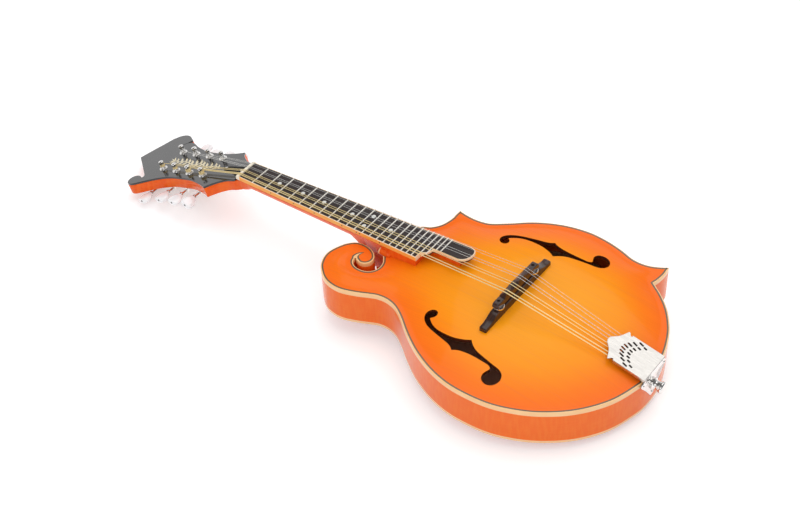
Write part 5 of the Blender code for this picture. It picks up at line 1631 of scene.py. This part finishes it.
def makeTray():                                 # a stepped tray with hooks, and the apron at the end
    half, metal, drop = tail["coverWidth"] / 2, tail["metal"], tail["drop"]
    inner, under = half - metal - 0.3, -metal - 0.3
    profile = [(0.2, under), (27, under - 0.2), (29, under - 3.0), (36, under - 3.4),
               (36, under - 3.4 - metal), (28, under - 3.0 - metal), (26, under - 0.2 - metal),
               (2.0, under - metal), (0.2, under - metal)]
    tray = moved(lofted([[(x, y, z) for x, z in profile] for y in (-inner, inner)]), coverFrame)
    step = inner - 0.2
    shield = throughRuns([
        [(step, tail["endZ"] - 1.6), (step, 2)],
        [(step, 2), (half, 2)],
        [(half, 2), (half + 2.2, 0.6), (half + 3.6, -1.2), (half + 3.2, -3.2)],
        [(half + 3.2, -3.2), (half * 0.64, -16.5), (3.6, 2.2 - drop)],
        [(3.6, 2.2 - drop), (2.6, 0.9 - drop), (1.4, 0.2 - drop), (0, -drop)],
    ], 0.8)
    upright = shift(tailX, 0, 0) @ turn(90, "Z") @ turn(90, "X")
    apron = moved(plate(mirrored(shield, (-1, 1)), 0.1, 0.3 + metal, 0.3), upright)
    hooks = []
    for index, y in enumerate(stringPlaces("hook")):
        x = 31.0 if index % 2 else 34.0
        bent = curveThrough([(x + 2.2, y, under - 3.6), (x + 0.6, y, under - 3.9), (x - 0.6, y, under - 3.2),
                             (x - 0.9, y, under - 1.8), (x + 0.2, y, under - 0.9)], 0.4)
        hooks.append(moved(tube(bent, 0.55, 8), coverFrame))
    base = makeMesh("tailpiece_tray", joined(tray, apron, *hooks), None, 30)
    place(base, [finishes["nickel"], finishes["inMetal"]], nodes=["tailpiece_base"])
    inward = (instrument @ coverFrame).inverted()
    for face in base.data.polygons:             # what the slots show is in shade
        centre = inward @ face.center / mm
        face.material_index = int(-5 < centre.z < -1.2 and 1 < centre.x < 35 and abs(centre.y) < inner)


def makeEndPin():
    r, out = tail["pinRadius"], 0.6 + tail["metal"]
    flange = r + 3.2
    profile = [(0, out + 12.6), (flange - 2.2, out + 12.4), (flange - 0.8, out + 12.0), (flange, out + 11.0),
               (flange, out + 9.8), (flange - 0.7, out + 8.6), (r + 1.6, out + 7.0), (r + 1.0, out + 5.4),
               (r + 1.0, out + 3.6), (r + 1.6, out + 2.4), (flange - 0.6, out + 1.6), (flange - 0.6, out),
               (r, out), (r - 0.6, -18), (0, -18)]
    at = shift(tailX, 0, -tail["pinDepth"]) @ turn(90, "Y")
    pin = makeMesh("end_pin_turned", lathed(profile, 48), at)
    place(pin, finishes["nickel"], nodes=["end_pin"])
    spots = [((tailX + out - 0.3, y, z), (0, math.pi / 2, 0)) for y, z in tail["screws"]]
    screws = repeatPiece("apron_screws", screwShape(edge=0.4), spots, finishes["nickel"])
    place(screws, finishes["nickel"])


makeLid()
makeTray()
makeEndPin()
print("tailpiece and end pin")


# Camera, floor and light

cameraFit = {
    "azimuth": 39.171,
    "elevation": 45.188,
    "roll": -3.029,
    "aim": (350.0, 0.0, 0.0),
    "offset": (110.557, 34.575, 1548.208),
    "focalPixels": 1544.523,
    "framePixels": 800,
    "sensor": 36.0,
}
light = {
    "sky": 0.66,               # what reaches dull surfaces from all round
    "wall": 1.0,               # what gloss sees beyond the instrument, behind the camera and overhead
    "room": 0.2,
    "ceiling": 0.12,
    "beyond": (-0.63, 0.775, 0.0),
    "key": 19.5,               # watts; sizes and places in metres
    "keySize": 2.2,
    "keyPlace": (0.1, 0.75, 2.0),
    "fill": 5.5,
    "fillSize": 1.2,
    "fillPlace": (0.6, -1.3, 0.9),
    "floorGlow": 0.34,
}


def makeCamera():
    azimuth, elevation, roll = (math.radians(cameraFit[key]) for key in ("azimuth", "elevation", "roll"))
    back = Vector((math.sin(azimuth) * math.cos(elevation), -math.cos(azimuth) * math.cos(elevation),
                   math.sin(elevation)))
    right = Vector((math.cos(azimuth), math.sin(azimuth), 0))
    up = back.cross(right)
    across = right * math.cos(roll) + up * math.sin(roll)
    above = up * math.cos(roll) - right * math.sin(roll)
    x, y, z = cameraFit["offset"]
    at = (Vector(cameraFit["aim"]) - across * x + above * y + back * z) * mm
    columns = Matrix((across, above, back)).transposed().to_4x4()
    camera = bpy.data.cameras.new("photo_camera")
    camera.sensor_width = cameraFit["sensor"]
    camera.lens = cameraFit["focalPixels"] / cameraFit["framePixels"] * cameraFit["sensor"]
    camera.clip_start = 0.01
    obj = bpy.data.objects.new("photo_camera", camera)
    bpy.context.scene.collection.objects.link(obj)
    obj.matrix_world = instrument @ Matrix.Translation(at) @ columns
    bpy.context.scene.camera = obj


def makeFloor():
    bm = bmesh.new()
    bmesh.ops.create_grid(bm, x_segments=1, y_segments=1, size=6)
    mesh = bpy.data.meshes.new("studio_floor")
    bm.to_mesh(mesh)
    bm.free()
    floor = linked("studio_floor", mesh)
    material, tree, shader = newMaterial("pale_floor", (0.885, 0.89, 0.895), Roughness=0.6)
    rays = addNode(tree, "LightPath")
    glow = addNode(tree, "Emission", {0: (0.98, 0.985, 1, 1)})
    seen = addNode(tree, "Math", {0: rays.outputs["Is Camera Ray"], 1: rays.outputs["Is Glossy Ray"]},
                   operation="MAXIMUM")
    share = addNode(tree, "Math", {0: seen.outputs[0], 1: light["floorGlow"]}, operation="MULTIPLY")
    tree.links.new(share.outputs[0], glow.inputs[1])
    both = addNode(tree, "AddShader", {0: shader.outputs[0], 1: glow.outputs[0]})
    tree.links.new(both.outputs[0], tree.nodes["Material Output"].inputs[0])
    mesh.materials.append(material)


def makeStudio():              # white to the eye, softer to dull surfaces, and a lit wall to glossy ones
    world = bpy.data.worlds.new("studio")
    bpy.context.scene.world = world
    world.use_nodes = True
    tree = world.node_tree
    background = tree.nodes["Background"]
    background.inputs[0].default_value = (1, 1, 1, 1)
    rays = addNode(tree, "LightPath")
    direction = addNode(tree, "TexCoord").outputs["Generated"]
    height = addNode(tree, "SeparateXYZ", {0: direction})
    away = addNode(tree, "VectorMath", {0: direction, 1: light["beyond"]}, operation="DOT_PRODUCT")
    around = ranged(tree, away.outputs["Value"], -0.2, 0.35, light["room"], light["wall"])
    studio = ranged(tree, height.outputs[2], 0.38, 0.62, around, light["ceiling"])
    gloss = addNode(tree, "Mix", {0: rays.outputs["Is Glossy Ray"], 2: light["sky"], 3: studio})
    seen = addNode(tree, "Mix", {0: rays.outputs["Is Camera Ray"], 2: gloss.outputs[0], 3: 1.0})
    tree.links.new(seen.outputs[0], background.inputs[1])


def makeLamps():
    for name in ("key", "fill"):
        lamp = bpy.data.lights.new(name, "AREA")
        lamp.energy, lamp.size = light[name], light[name + "Size"]
        obj = bpy.data.objects.new(name, lamp)
        bpy.context.scene.collection.objects.link(obj)
        obj.location = light[name + "Place"]
        obj.rotation_euler = (-Vector(light[name + "Place"])).to_track_quat("-Z", "Y").to_euler()


makeCamera()
makeFloor()
makeStudio()
makeLamps()
bpy.context.scene.view_settings.view_transform = "Standard"
print("camera, floor and light")
